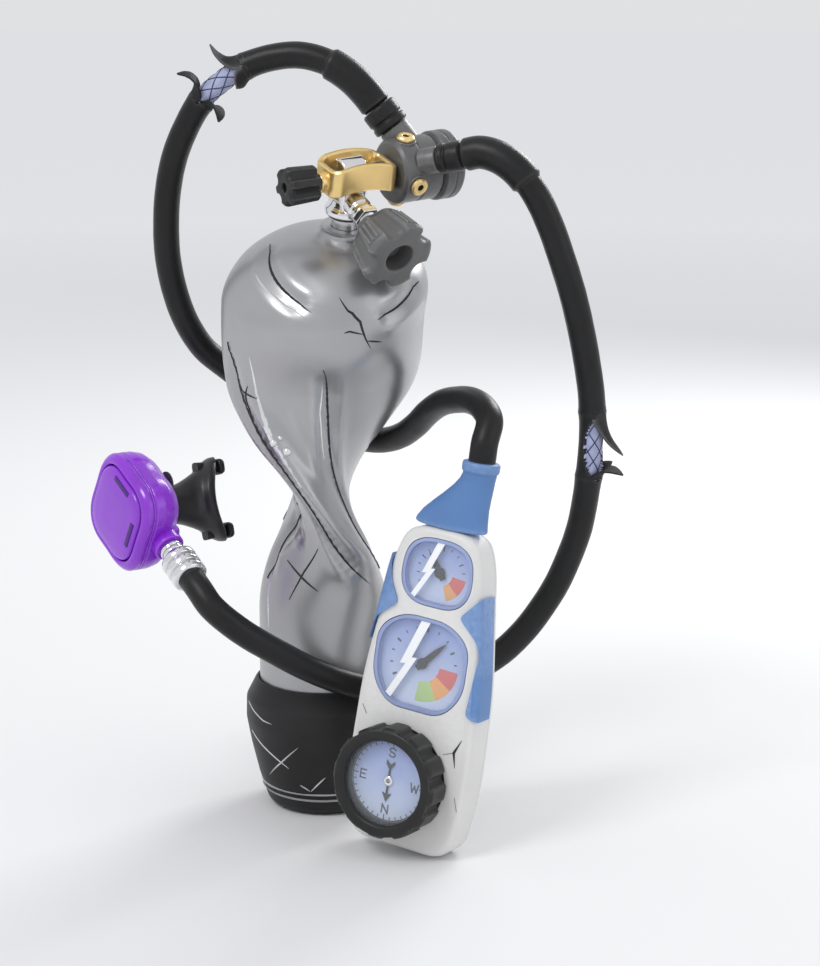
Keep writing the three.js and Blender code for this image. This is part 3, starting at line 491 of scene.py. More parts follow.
def extruded(outline, low, high, place):
    """Two rings in metres from an outline in x and y between two heights in millimetres."""
    return [[place @ (MM * Vector((x, y, z))) for x, y in outline] for z in (low, high)]


def printed(name, outline, low, high, place, material):
    return skinned(name, extruded(outline, low, high, place), material, smooth=False)


def round_angles(count):
    return [2 * math.pi * i / count for i in range(count)]


def circle(radius, z, sides):
    return [Vector((radius * math.cos(a), radius * math.sin(a), z)) for a in round_angles(sides)]


def rounded_corner(before, corner, after, steps):
    """Points that curve from one place to another, drawn towards the corner between them."""
    return [(1 - t) ** 2 * before + 2 * t * (1 - t) * corner + t * t * after
            for t in (i / steps for i in range(steps + 1))]


def rounded_profile(points, radius):
    """[r, z] points with the corners between the first and the last rounded off."""
    out = [Vector(points[0])]
    for before, corner, after in zip(points, points[1:], points[2:]):
        a, b, c = Vector(before), Vector(corner), Vector(after)
        reach_in = min(radius, (a - b).length * 0.45)
        reach_out = min(radius, (c - b).length * 0.45)
        enter = b + (a - b).normalized() * reach_in
        leave = b + (c - b).normalized() * reach_out
        out += rounded_corner(enter, b, leave, 4)
    out.append(Vector(points[-1]))
    return out


def lathe(name, points, place, material, radius=1.0, sides=64, ripple=None, sharp=35):
    """A solid turned about z from [r, z] points in millimetres; ripple(angle, r, z) can change each radius."""
    rings = []
    for r, z in rounded_profile(points, radius):
        ring = []
        for angle in round_angles(sides):
            out = max(r, 0.02)
            if ripple:
                out = ripple(angle, out, z)
            ring.append(place @ (MM * Vector((out * math.cos(angle), out * math.sin(angle), z))))
        rings.append(ring)
    return skinned(name, rings, material, sharp=sharp)


def smooth_step(t):
    t = max(0.0, min(1.0, t))
    return t * t * (3 - 2 * t)


def catmull(points, per_span):
    """A smooth curve through the points, as a dense list."""
    out = []
    count = len(points)
    for k in range(count - 1):
        p0 = points[k - 1] if k else 2 * points[0] - points[1]
        p1, p2 = points[k], points[k + 1]
        p3 = points[k + 2] if k + 2 < count else 2 * points[-1] - points[-2]
        t0 = 0.0
        t1 = t0 + math.sqrt((p1 - p0).length)
        t2 = t1 + math.sqrt((p2 - p1).length)
        t3 = t2 + math.sqrt((p3 - p2).length)
        for i in range(per_span):
            t = t1 + (t2 - t1) * i / per_span
            a1 = (t1 - t) / (t1 - t0) * p0 + (t - t0) / (t1 - t0) * p1
            a2 = (t2 - t) / (t2 - t1) * p1 + (t - t1) / (t2 - t1) * p2
            a3 = (t3 - t) / (t3 - t2) * p2 + (t - t2) / (t3 - t2) * p3
            b1 = (t2 - t) / (t2 - t0) * a1 + (t - t0) / (t2 - t0) * a2
            b2 = (t3 - t) / (t3 - t1) * a2 + (t - t1) / (t3 - t1) * a3
            out.append((t2 - t) / (t2 - t1) * b1 + (t - t1) / (t2 - t1) * b2)
    out.append(points[-1].copy())
    return out


class Line:
    """A path with even steps, and a frame that doesn't twist along it."""

    def __init__(self, points, step):
        lengths = [0.0]
        for a, b in zip(points, points[1:]):
            lengths.append(lengths[-1] + (b - a).length)
        self.length = lengths[-1]
        count = max(2, round(self.length / step))
        self.step = self.length / count
        self.points = []
        k = 0
        for i in range(count + 1):
            s = self.length * i / count
            while k < len(points) - 2 and lengths[k + 1] < s:
                k += 1
            t = (s - lengths[k]) / max(1e-12, lengths[k + 1] - lengths[k])
            self.points.append(points[k].lerp(points[k + 1], min(1.0, t)))
        self.frames = []
        normal = None
        for i, p in enumerate(self.points):
            tangent = (self.points[min(count, i + 1)] - self.points[max(0, i - 1)]).normalized()
            if normal is None:
                normal = tangent.orthogonal().normalized()
            normal = (normal - tangent * normal.dot(tangent)).normalized()
            self.frames.append((p, tangent, normal, tangent.cross(normal)))

    def at(self, s):
        """The frame at length s."""
        k = max(0, min(len(self.frames) - 1, round(s / self.step)))
        p, tangent, u, v = self.frames[k]
        return p + tangent * (s - k * self.step), tangent, u, v

    def facing(self, s, direction):
        """The angle round the path at s that looks in a direction."""
        _, _, u, v = self.at(s)
        return math.atan2(Vector(direction).dot(v), Vector(direction).dot(u))

    def around(self, s, angle, radius):
        p, _, u, v = self.at(s)
        return p + radius * (math.cos(angle) * u + math.sin(angle) * v)


def tube_rings(line, radius_at, sides):
    """Rings round a line; radius_at(length, angle) gives each point's distance from it."""
    rings = []
    for k, (p, _, u, v) in enumerate(line.frames):
        rings.append([p + radius_at(k * line.step, a) * (math.cos(a) * u + math.sin(a) * v)
                      for a in round_angles(sides)])
    return rings


def rod(name, path, step, radius, sides, material):
    """A round bar of one radius along a path."""
    return skinned(name, tube_rings(Line(path, step), lambda s, a: radius, sides), material)


def strip_on(surface, rays, width, lift, name, material):
    """A tapering strip laid over a surface, where each ray, a start and a direction, meets it: a scratch, a dark strip
    of painted shade in a fold or crack, or a pale strip of painted highlight.
    """
    thickness = 0.0004
    centre = []
    for start, direction in rays:
        hit, normal, _, _ = surface.ray_cast(start, direction)
        if hit is None:
            continue
        centre.append((hit, -normal if normal.dot(direction) > 0 else normal))
    verts, faces = [], []
    count = len(centre)
    for k, (p, n) in enumerate(centre):
        along = (centre[min(count - 1, k + 1)][0] - centre[max(0, k - 1)][0]).normalized()
        side = n.cross(along).normalized()
        w = width * (math.sin(math.pi * k / (count - 1)) ** 0.6 + 0.06)
        for offset, height in ((-0.5, -thickness), (0, lift + thickness), (0.5, -thickness)):
            verts.append(p + side * w * offset + n * height)
        if k:
            base = 3 * (k - 1)
            faces += [(base, base + 1, base + 4, base + 3), (base + 1, base + 2, base + 5, base + 4),
                      (base + 2, base, base + 3, base + 5)]
    faces += [(2, 1, 0), (3 * count - 3, 3 * count - 2, 3 * count - 1)]
    return new_object(name, mesh_of(name, verts, faces), material)


def surface_of(piece):
    bm = bmesh.new()
    bm.from_mesh(piece.data)
    tree = BVHTree.FromBMesh(bm)
    bm.free()
    return tree


def joined(name, pieces):
    """One object from several, keeping each one's material."""
    for o in bpy.context.selected_objects:
        o.select_set(False)
    for p in pieces:
        p.select_set(True)
    bpy.context.view_layer.objects.active = pieces[0]
    bpy.ops.object.join()
    pieces[0].name = name
    return pieces[0]


# ---------- the wrung tank ----------
# Lengths along the tank, in millimetres from the floor, and its half-axes at foot, waist and chest.
WRING_LOW, WRING_HIGH, WAIST, CHEST, MOUTH = 152, 446, 301, 472, 551
FOOT_R, WAIST_R, CHEST_R = 60, 28, 92
BEND_START, BEND_END, BEND_ANGLE = 400, 505, math.radians(20)
BEND_TOWARDS = Vector((0.3, -0.954, 0)).normalized()
BEND_AXIS = Z.cross(BEND_TOWARDS).normalized()
# Folds of the wrung metal: each one's path, as lengths along the tank and degrees round its section, then its depth,
# its width and the width of its black heart, a strip of painted shade laid in it, in millimetres.
FOLDS = [
    # the bold one: the chest's metal laps over the waist's, from the left edge down to the front
    ([(446, 26), (400, 6), (352, -6), (308, -16), (268, -24), (240, -17), (222, -6)], 5.5, 8, 5.2),
    ([(436, 87), (390, 69), (340, 58), (298, 52), (262, 40), (230, 36)], 4.5, 8, 3.6),
    ([(528, 55), (522, 74), (512, 100), (505, 116)], 3.0, 8, 3.4),
    ([(517, 204), (507, 176), (499, 153)], 3.0, 8, 3.4),
    ([(296, -58), (270, -84), (246, -110), (216, -127)], 4.0, 8, 3.0),
    ([(395, 34), (330, 22), (262, 8)], 2.2, 7, 0),
    ([(345, -58), (300, -66), (250, -70)], 2.6, 6, 0),
    ([(446, 206), (400, 186), (352, 174), (308, 164), (268, 156), (240, 163)], 5.5, 8, 5.2),
    ([(436, 267), (390, 249), (340, 238), (298, 232), (262, 220)], 4.5, 8, 3.6),
    ([(345, 122), (300, 114), (250, 110)], 2.6, 6, 2.0),
    ([(395, 214), (330, 202), (262, 188)], 2.2, 7, 0),
]


def centre_line(s):
    arc_r = (BEND_END - BEND_START) / BEND_ANGLE
    angle = max(0.0, min(BEND_ANGLE, (s - BEND_START) / arc_r))
    past = max(0.0, s - BEND_END)
    rise = min(s, BEND_START) + arc_r * math.sin(angle) + past * math.cos(angle)
    lean = arc_r * (1 - math.cos(angle)) + past * math.sin(angle)
    at = BEND_TOWARDS * lean + Z * rise
    at.x += 13 * smooth_step((s - CHEST) / (MOUTH - CHEST - 15))
    return at, Quaternion(BEND_AXIS, angle)


def half_axes(s):
    """The long and short half-axes of the section: the short one closes in at the waist."""
    long = FOOT_R + (CHEST_R - FOOT_R) * smooth_step((s - WRING_LOW) / (CHEST - WRING_LOW))
    if s < WAIST:
        open_again = smooth_step((WAIST - s) / (WAIST - WRING_LOW + 14))
    else:
        open_again = smooth_step((s - WAIST) / (CHEST - WAIST - 8))
    short = WAIST_R + ((FOOT_R if s < WAIST else CHEST_R) - WAIST_R) * open_again
    if s > CHEST:
        dome = max(0.0, 1 - ((s - CHEST) / 70) ** 2.4) ** (1 / 2.4)
        long = short = max(CHEST_R * dome, 22 + 7 * smooth_step((MOUTH - 4 - s) / 9))
    return long, short


def on_section(s, a):
    """The point of the tank's skin at length s and angle a round its section, in millimetres."""
    at, turn = centre_line(s)
    long, short = half_axes(s)
    ridge = math.pi * (1 + (WRING_HIGH - s) / (WRING_HIGH - WRING_LOW))
    # the flattened section is pinched to a soft edge at its two ridges
    pinch = smooth_step(1 - abs(s - WAIST) / 150)
    edge = 1 + 0.05 * pinch * abs(math.cos(a)) ** 8 - 0.05 * pinch * math.sin(a) ** 2
    u = long * edge * math.cos(a)
    v = short * edge * math.sin(a)
    flat = Vector((u * math.cos(ridge) - v * math.sin(ridge), u * math.sin(ridge) + v * math.cos(ridge), 0))
    return turn @ flat + at


def rays_along(corners, ray_at, steps):
    """Rays at even steps between corners, which are pairs of numbers that ray_at turns into a ray."""
    rays = []
    for (s0, a0), (s1, a1) in zip(corners, corners[1:]):
        rays += [ray_at(s0 + (s1 - s0) * i / steps, a0 + (a1 - a0) * i / steps) for i in range(steps)]
    return rays


def fold_path(fold, count):
    """Even steps along a fold, as lengths along the tank and angles round it."""
    line = Line(catmull([Vector((s, a * 1.2, 0)) for s, a in fold[0]], 12), 1)
    places = [line.at(line.length * i / count)[0] for i in range(count + 1)]
    return [(p.x, math.radians(p.y / 1.2)) for p in places]


def skin_point(s, a, paths):
    """The tank's skin with its folds pressed in and soft dents between them."""
    p = on_section(s, a)
    sink = 0.0
    for fold, path in paths:
        depth, width = fold[1], fold[2]
        nearest = min(((p - q).length_squared, t) for q, t in path)
        if nearest[0] < (3.5 * width) ** 2:
            t = nearest[1]
            fade = smooth_step(min(t, 1 - t) / 0.15)
            r2 = nearest[0] / width ** 2
            sink += depth * fade * (math.exp(-r2) - 0.35 * math.exp(-((math.sqrt(r2) - 1.7) ** 2) * 2.5))
    middle = smooth_step(1 - abs(s - WAIST) / 190)
    dents = noise.noise(p * 0.022 + Vector((3, 1, 7))) * (0.5 + 2.6 * middle)
    sink += dents if s < CHEST + 40 else 0
    at = centre_line(s)[0]
    inward = at - p
    inward.z = 0
    return p + inward.normalized() * sink if sink else p


def build_tank():
    paths = []
    for fold in FOLDS:
        line = fold_path(fold, 34)
        paths.append((fold, [(on_section(s, a), i / (len(line) - 1)) for i, (s, a) in enumerate(line)]))
    sides = 150
    stations = [22.5 + 4 * i for i in range(28)] + [134 + 2.6 * i for i in range(130)]
    stations += [CHEST + 1.6 * i for i in range(49)]
    rings = [circle(r, z, sides) for r, z in ((46, 8), (52, 9.4), (56, 14), (59, 18))]
    rings += [[skin_point(s, a, paths) for a in round_angles(sides)] for s in stations]
    at, turn = centre_line(MOUTH)
    for r, up in ((21.5, 0.0), (20.6, 0.6), (19.8, 0.6), (13, 0.6), (13, -14)):
        rings.append([turn @ p + at for p in circle(r, up, sides)])
    tank = skinned("tank_skin", [[MM * p for p in ring] for ring in rings], "tank", sharp=50)
    finished(tank, "tank", "tank_metal", "tank_shell")
    skin = surface_of(tank)

    def ray_at(length, angle):
        """A ray onto the skin from outside, at a length along the tank and an angle round its section."""
        p = on_section(length, angle)
        out = (p - centre_line(length)[0]).normalized()
        return MM * (p + 30 * out), -out

    def ray_in_degrees(length, around):
        return ray_at(length, math.radians(around))

    fold_shade_strips = []
    # The black heart of each fold is a strip of painted shade laid along it.
    for number, fold in enumerate(FOLDS):
        if fold[3]:
            rays = [ray_at(s, a) for s, a in fold_path(fold, 60)]
            fold_shade_strips.append(strip_on(skin, rays, fold[3] * MM, 0.0007, f"fold_{number}", "crease"))
    finished(joined("tank_fold_lines", fold_shade_strips), "tank", "tank_metal")

    def scored(name, material, lift, marks):
        """One piece from marks on the skin: each one's width, then its corners as lengths and degrees."""
        strips = []
        for width, *corners in marks:
            rays = rays_along(corners, ray_in_degrees, 10) + [ray_in_degrees(*corners[-1])]
            strips.append(strip_on(skin, rays, width * MM, lift, "mark", material))
        finished(joined(name, strips), "tank", "tank_metal")

    # Each crack is a dark strip of painted shade on the skin.
    scored("tank_cracks", "crease", 0.0005, [
        (3.4, (518, 137), (509, 139), (507, 141), (499, 142), (483, 137), (463, 130)),
        (2.4, (483, 137), (488, 131), (486, 127)),
        (2.4, (474, 134), (470, 141)),
        (3.4, (238, 268), (226, 283), (215, 297)),
        (2.8, (256, 312), (231, 287), (204, 264)),
        (3.2, (408, 24), (392, 12), (374, 0)),
        (2.6, (396, 24), (404, 12)),
        (2.6, (168, 330), (158, 345), (155, 358)),
    ])
    # Painted highlight: pale glint strips on the skin, most beside the folds.
    scored("tank_bare_scuffs", "glint", 0.0002, [
        (4.5, (440, 44), (400, 26), (352, 12), (318, 2)),
        (3.0, (515, 66), (508, 92), (500, 110)),
        (3.0, (420, 78), (384, 62), (340, 50)),
        (4.0, (240, 250), (206, 236), (176, 228)),
    ])

    # Three raised blisters on the skin; their pale colour is the painted glint, a painted highlight.
    blisters = []
    for length, around, size in ((358, 14, 3.6), (362, 22, 2.4), (350, 20, 4.2)):
        hit = skin.ray_cast(*ray_in_degrees(length, around))[0]
        bpy.ops.mesh.primitive_uv_sphere_add(segments=20, ring_count=12, radius=size * MM, location=hit)
        drop = bpy.context.object
        drop.data.materials.append(MATERIALS["glint"])
        drop.data.shade_smooth()
        blisters.append(drop)
    finished(joined("tank_blisters", blisters), "tank", "tank_metal")


def build_boot():
    profile = [[0, 0], [48, 0], [54, 6], [62, 30], [69, 60], [73, 84], [73, 104], [65.5, 118.5], [63.4, 122],
               [60.5, 122], [60.5, 100]]

    def rubbed(angle, r, z):
        lump = noise.noise(Vector((2.4 * math.cos(angle), 2.4 * math.sin(angle), z * 0.03)))
        rib = 0.8 * math.exp(-((z - 94) / 2.2) ** 2) if r > 60 else 0
        return r + 0.6 * lump * smooth_step((z - 6) / 24) * (r > 50) - rib

    boot = lathe("boot_skin", profile, Matrix.Identity(4), "boot", 2.4, 160, rubbed, sharp=40)
    finished(boot, "tank", "boot_rubber", "tank_boot")
    skin = surface_of(boot)

    def ray_at(z, around):
        a = math.radians(around)
        out = Vector((math.sin(a), -math.cos(a), 0))
        return MM * (110 * out + Z * z), -out

    scratches = [
        (2.4, (103, -72), (97, -60), (92, -48), (91, -38)),
        (2.6, (76, -68), (62, -46), (48, -26)),
        (2.2, (36, -52), (54, -34), (74, -16)),
        (2.0, (33, -19), (27, -10)),
        (2.2, (27, -10), (44, 4)),
        (1.8, (99, 28), (92, 44)),
        (1.8, (60, 100), (48, 118)),
        (1.8, (90, 170), (70, 190)),
    ]
    strips = [strip_on(skin, rays_along(corners, ray_at, 12), width * MM, 0.0003, "mark", "scratch")
              for width, *corners in scratches]
    finished(joined("boot_scratches", strips), "tank", "boot_rubber")


# ---------- the head ----------
def bevelled(name, mesh, material, width, segments=3):
    """Rounds the sharp edges of a mesh given in metres and makes it an object."""
    bm = bmesh.new()
    bm.from_mesh(mesh)
    bmesh.ops.recalc_face_normals(bm, faces=bm.faces)
    least = math.radians(30)
    edges = [e for e in bm.edges if e.is_manifold and e.calc_face_angle(0) > least]
    bmesh.ops.bevel(bm, geom=edges, offset=width * MM, segments=segments, profile=0.6, affect="EDGES",
                    clamp_overlap=True)
    bm.to_mesh(mesh)
    bm.free()
    return new_object(name, mesh, material, sharp=40)


def prism(name, outline, low, high, place, material, bevel=0.6):
    """An outline in x and y, given height along z; millimetres."""
    return bevelled(name, skin_rings(extruded(outline, low, high, place)), material, bevel)


def carved(piece, operation, *cutters):
    """A boolean with each cutter in turn; the cutters are used up."""
    for cutter in cutters:
        trim = piece.modifiers.new("cut", "BOOLEAN")
        trim.object = cutter
        trim.operation = operation
        trim.solver = "EXACT"
        bpy.context.view_layer.objects.active = piece
        bpy.ops.object.modifier_apply(modifier="cut")
        bpy.data.objects.remove(cutter)
    smoothed(piece.data, 35)


def hexagon(flats):
    r = flats / math.sqrt(3)
    return [(r * math.cos(math.pi / 3 * i), r * math.sin(math.pi / 3 * i)) for i in range(6)]


def box_piece(name, size, centre, place, material, bevel=0.8):
    w, d, h = (s / 2 for s in size)
    x, y, z = centre
    outline = [(x - w, y - d), (x + w, y - d), (x + w, y + d), (x - w, y + d)]
    return prism(name, outline, z - h, z + h, place, material, bevel)


def scallop(angle, r, count, bite, scallop_r, blend=1.2):
    """The radius at an angle of a disc with round bites of its rim, blended into the rim by log1p's soft corner."""
    step = 2 * math.pi / count
    off = (angle / step - 0.5) % 1.0
    off = min(off, 1 - off) * step
    centre = r + scallop_r - bite
    if abs(centre * math.sin(off)) < scallop_r:
        inner = centre * math.cos(off) - math.sqrt(scallop_r ** 2 - (centre * math.sin(off)) ** 2)
        gap = (inner - r) / blend
        return r - blend * math.log1p(math.exp(-gap)) if gap > -30 else inner
    return r


def build_valve():
    half = 13
    outline = [(-half, -27), (half, -27)]
    outline += [(half * math.cos(math.pi * i / 24), 6 + half * math.sin(math.pi * i / 24)) for i in range(25)]
    body = [prism("valve_post", outline, -12, 12, HEAD @ ALONG_X, "chrome", 2.2),
            lathe("valve_spigot", [[0, -52], [12.5, -52], [12.5, -33], [18.5, -33], [19.5, -32], [19.5, -28.5],
                                   [18.6, -27], [15.5, -24.5], [13.5, -20], [0, -20]], HEAD, "chrome", 0.8, 72),
            lathe("valve_branch", [[0, 0], [11.5, 0], [11.5, 22], [10.4, 24], [10.4, 27], [11, 28], [11, 31],
                                   [0, 31]], KNOB_AXIS, "chrome", 0.8, 64),
            lathe("valve_boss", [[0, 0], [9, 0], [9, 17.4], [8.2, 18.2], [0, 18.2]], VALVE_BACK, "chrome", 0.6, 48)]
    finished(joined("valve_body_polished", body), "tank", "chrome", "valve_body")
    bonnet = [prism("bonnet", hexagon(22), 31.3, 38, KNOB_AXIS, "chrome", 0.7),
              lathe("bonnet_neck", [[0, 37], [9, 37], [9, 40.4], [8.4, 41], [4.4, 41], [4.4, 39]], KNOB_AXIS,
                    "chrome", 0.3, 40)]
    finished(joined("bonnet_nut_polished", bonnet), "tank", "chrome", "valve_bonnet_nut")
    plug = [prism("burst_hex", hexagon(13), 18.3, 24, VALVE_BACK, "brass", 0.5),
            lathe("burst_cap", [[0, 23.5], [5, 23.5], [5, 25], [1.6, 25], [1.6, 23.6]], VALVE_BACK, "brass", 0.3,
                  32)]
    finished(joined("burst_plug_turned", plug), "tank", "brass", "burst_disc_plug")


def build_handwheel():
    near, far, lobe_count = 50, 94, 5

    def lobes(angle, r, z):
        t = (z - near) / (far - near)
        bite = 8 * smooth_step((z - near + 1) / 3)
        return min(r, scallop(angle, r, lobe_count, bite * (0.75 + 0.25 * t), 11)) if r > 17 else r

    points = [[4.6, near], [21, near], [25, near + 4], [33, far - 5], [31.5, far - 1.2], [28, far], [14.4, far],
              [13, far - 1.6], [13, far - 20], [4.6, far - 20]]
    knob = lathe("handwheel", points, KNOB_AXIS, "knob", 1.8, 200, lobes, sharp=50)
    finished(knob, "valve_handwheel", "knob_plastic", "valve_knob")
    ribs = []
    low, high = (27.6, near + 12), (32.2, far - 8)
    for angle in round_angles(lobe_count):
        for side in (-4.4, 0, 4.4):
            place = moved(KNOB_AXIS @ Matrix.Rotation(angle, 4, "Z"), 0, side)
            path = [place @ (MM * Vector((low[0] + (high[0] - low[0]) * i / 8 - abs(side) * 0.07, 0,
                                          low[1] + (high[1] - low[1]) * i / 8))) for i in range(9)]
            ribs.append(rod("grip_rib", path, 2 * MM, 1.1 * MM, 10, "knob"))
    finished(joined("handwheel_ribs", ribs), "valve_handwheel", "knob_plastic")
    nut = [prism("nut", hexagon(12), 74.4, 79.4, KNOB_AXIS, "chrome", 0.5),
           lathe("washer", [[0, 74], [8.6, 74], [8.6, 74.8], [0, 74.8]], KNOB_AXIS, "chrome", 0.2, 40)]
    finished(joined("handwheel_nut", nut), "valve_handwheel", "chrome", "knob_nut")
    stem = lathe("stem_end", [[0, 42], [4, 42], [4, 79.4], [3.4, 80.4], [0, 80.4]], KNOB_AXIS, "steel", 0.4, 32)
    finished(stem, "valve_handwheel", "steel", "valve_stem")


def yoke_band():
    """The arched band round the valve: a rounded oblong seen from above, whose section rises at its middle."""
    from_x, to_x, half, radius, steps = -26.5, 40, 20, 11, 10
    thick, tall, lip = 5.5, 25, 1.6
    outline = []
    for k, (x, y) in enumerate([(from_x, -half), (to_x, -half), (to_x, half), (from_x, half)]):
        centre = Vector((x + (radius if k in (0, 3) else -radius), y + (radius if k in (0, 1) else -radius)))
        for i in range(steps + 1):
            a = math.pi + math.pi / 2 * (k + i / steps)
            outward = Vector((math.cos(a), math.sin(a)))
            outline.append((centre + radius * outward, outward))
    rings = []
    for k, (p, n) in enumerate(outline):
        q, m = outline[(k + 1) % len(outline)]
        count = max(1, round((q - p).length / 3))
        for t in (i / count for i in range(count)):
            at, normal = p.lerp(q, t), n.lerp(m, t).normalized()
            low = -12.5 + 7 * (1 - ((at.x - 5) / 36) ** 2)
            high = low + tall
            ring = []
            for inward, z in ((0, low + lip), (-0.5, low + tall / 2), (0, high - lip), (lip, high),
                              (thick - lip, high), (thick, high - lip), (thick, low + lip), (thick - lip, low),
                              (lip, low)):
                edge = at - normal * inward
                ring.append(HEAD @ (MM * Vector((edge.x, edge.y, z))))
            rings.append(ring)
    return skinned("yoke_band", rings, "brass", loop=True, sharp=30)


def build_yoke():
    outward = turned(HEAD, -90, "Y")
    boss = lathe("yoke_boss", [[4.9, 21], [7.6, 21], [9.6, 24], [9, 31.4], [8.2, 32.5], [4.9, 32.5]], outward,
                 "brass", 0.6, 48)
    finished(joined("yoke_satin", [yoke_band(), boss]), "tank", "brass", "yoke")

    inlet = lathe("inlet_turned", [[2.6, 13.7], [9, 13.7], [10, 15], [10, 22], [9.4, 22.6], [9.4, 24], [11, 24.6],
                                   [11, 34.2], [9, 34.2], [9, 46], [2.6, 46]], HEAD @ ALONG_X, "chrome", 0.4, 56)
    finished(inlet, "tank", "chrome", "inlet_connector")
    pad = lathe("pad_turned", [[0, -15.7], [5.5, -15.7], [5.5, -13.8], [3.4, -12.6], [0, -10.4]], HEAD @ ALONG_X,
                "chrome", 0.4, 40)
    finished(pad, "screw_pad", "chrome", "yoke_screw_pad")

    def thread(angle, r, z):
        return r + (0.35 * math.sin(angle - 2 * math.pi * z / 1.5) if r > 3 else 0)

    points = [[0, -50]] + [[4.1, -50 + 0.4 * i] for i in range(84)] + [[0, -16.2]]
    screw = lathe("screw_thread", points, HEAD @ ALONG_X, "steel", 0.05, 32, thread, sharp=60)
    finished(screw, "screw", "steel", "yoke_screw")

    def lobes(angle, r, z):
        return min(r, scallop(angle, r, 6, 4, 6, 0.7)) if r > 9 else r

    points = [[5, 34.5], [13.5, 34.5], [16.5, 37], [17.5, 62], [16.4, 65], [13.5, 66], [5, 66], [4, 65], [4, 60.5],
              [0.5, 60.5]]
    knob = lathe("yoke_handle", points, outward, "black", 1.4, 160, lobes, sharp=50)
    finished(knob, "screw", "black_plastic", "yoke_knob")


# the hose ports in the first stage: where each one is and where it points
GAUGE_PORT = (Vector((72, 8, 8)), Vector((-0.42, 0.62, 0.66)).normalized())
BREATHING_PORT = (Vector((62, -18, 14)), Vector((0.6, -0.713, 0.376)).normalized())


def on_port(at, towards):
    """A hose port's frame: z leaves the first stage."""
    return HEAD @ Matrix.Translation(MM * at) @ Z.rotation_difference(towards).to_matrix().to_4x4()


def build_first_stage():
    plugs = {"upper": 88, "front": -6, "rear": -96}
    body = [lathe("stage_barrel", [[9.4, 41], [26, 41], [29, 44], [29, 60], [28.2, 61], [28.2, 63], [29, 64],
                                   [29, 79.6], [27.4, 81], [19.2, 81]], HEAD @ ALONG_X, "stage", 0.9, 96),
            lathe("gauge_boss", [[0, 8], [14, 8], [14, 30.6], [13, 31.7], [0, 31.7]], on_port(*GAUGE_PORT),
                  "stage", 0.8, 48),
            lathe("breathing_boss", [[0, 0], [12, 0], [12, 15.6], [11, 16.7], [0, 16.7]],
                  on_port(*BREATHING_PORT), "stage", 0.8, 48)]
    body += [lathe("port_seat", [[8.6, 26], [9.8, 26], [9.8, 28.8], [9.2, 29.5], [8.6, 29.5]], plug_place(angle),
                   "stage", 0.3, 40) for angle in plugs.values()]
    finished(joined("stage_body_painted", body), "tank", "stage_metal", "first_stage_body")
    cap = lathe("stage_cap_painted", [[19, 82], [26, 82], [31, 85], [31, 92.4], [30.2, 93], [30.2, 94.4], [31, 95],
                                      [31, 101], [28, 104], [12, 104], [11, 103.2], [0, 103.2]], HEAD @ ALONG_X,
                "stage", 1.1, 96)
    finished(cap, "tank", "stage_metal", "first_stage_cap")
    for side, angle in plugs.items():
        place = plug_place(angle)
        plug = [lathe("plug", [[4.8, 26], [4.8, 29.6], [7.4, 29.6], [8, 30.2], [8, 32], [6.6, 33.5], [3.4, 33.5],
                               [2.9, 33.1], [2.9, 30.2], [0, 30.2]], place, "brass", 0.35, 48),
                # The plug's hex socket is a black prism of painted shade filling its hole.
                prism("socket", hexagon(5), 30.3, 33.0, place, "needle", 0.1)]
        finished(joined(f"port_plug_{side}_turned", plug), "tank", "brass", f"port_plug_{side}")


def plug_place(angle):
    """A port's own frame: z leaves the first stage, angle degrees up from -y."""
    return turned(moved(HEAD, 54), 90 - angle, "X")


# ---------- hoses ----------
GAUGE_ROUTE = [
    (51.6, -2.6, 649), (42, -1.9, 661.2), (28, 1, 675), (7, 5, 688), (-17, 10, 694), (-42, 15, 692), (-67, 20, 684),
    (-88, 24, 671), (-107, 28, 654), (-122, 32, 630), (-134, 36, 602), (-141, 41, 572), (-144, 46, 543),
    (-144, 52, 511), (-139, 58, 478), (-129, 64, 447), (-114, 72, 421), (-95, 80, 403), (-72, 88, 384),
    (-46, 95, 367), (-17, 99, 349), (11, 96, 336), (37, 85, 331), (58, 66, 334), (74, 45, 343), (87, 22, 357),
    (98, -2, 373), (110, -27, 386), (123, -51, 393), (135, -73, 396), (145, -94, 393), (150, -112, 384),
    (145.5, -123.8, 367.4), (143.2, -124.5, 351.5),
]
BREATHING_ROUTE = [
    (128.1, -47.8, 609.2), (142.4, -53.4, 611.9), (158, -60, 608), (174, -66, 597), (189, -71, 578), (202, -74, 552),
    (213, -75, 522), (223, -73, 491), (231, -69, 460), (237, -65, 431), (242, -61, 400), (244, -56, 368),
    (243, -51, 336), (240, -45, 304), (235, -39, 272), (227, -33, 245), (216, -30, 218), (202, -29, 194),
    (185, -32, 172), (165, -37, 154), (142, -44, 141), (118, -51, 132), (94, -57, 127), (70, -62, 125),
    (47, -68, 129), (25, -75, 136), (3, -84, 147), (-18, -94, 160), (-39, -104, 175), (-61, -113, 191),
    (-79, -118, 206), (-94, -118, 220), (-105, -108.8, 233), (-112.6, -98.5, 240.2),
]
HOSE_R = 12 * MM
CORE_R = 9.2 * MM  # the braid under the cover
SLEEVE_R = 14.5 * MM


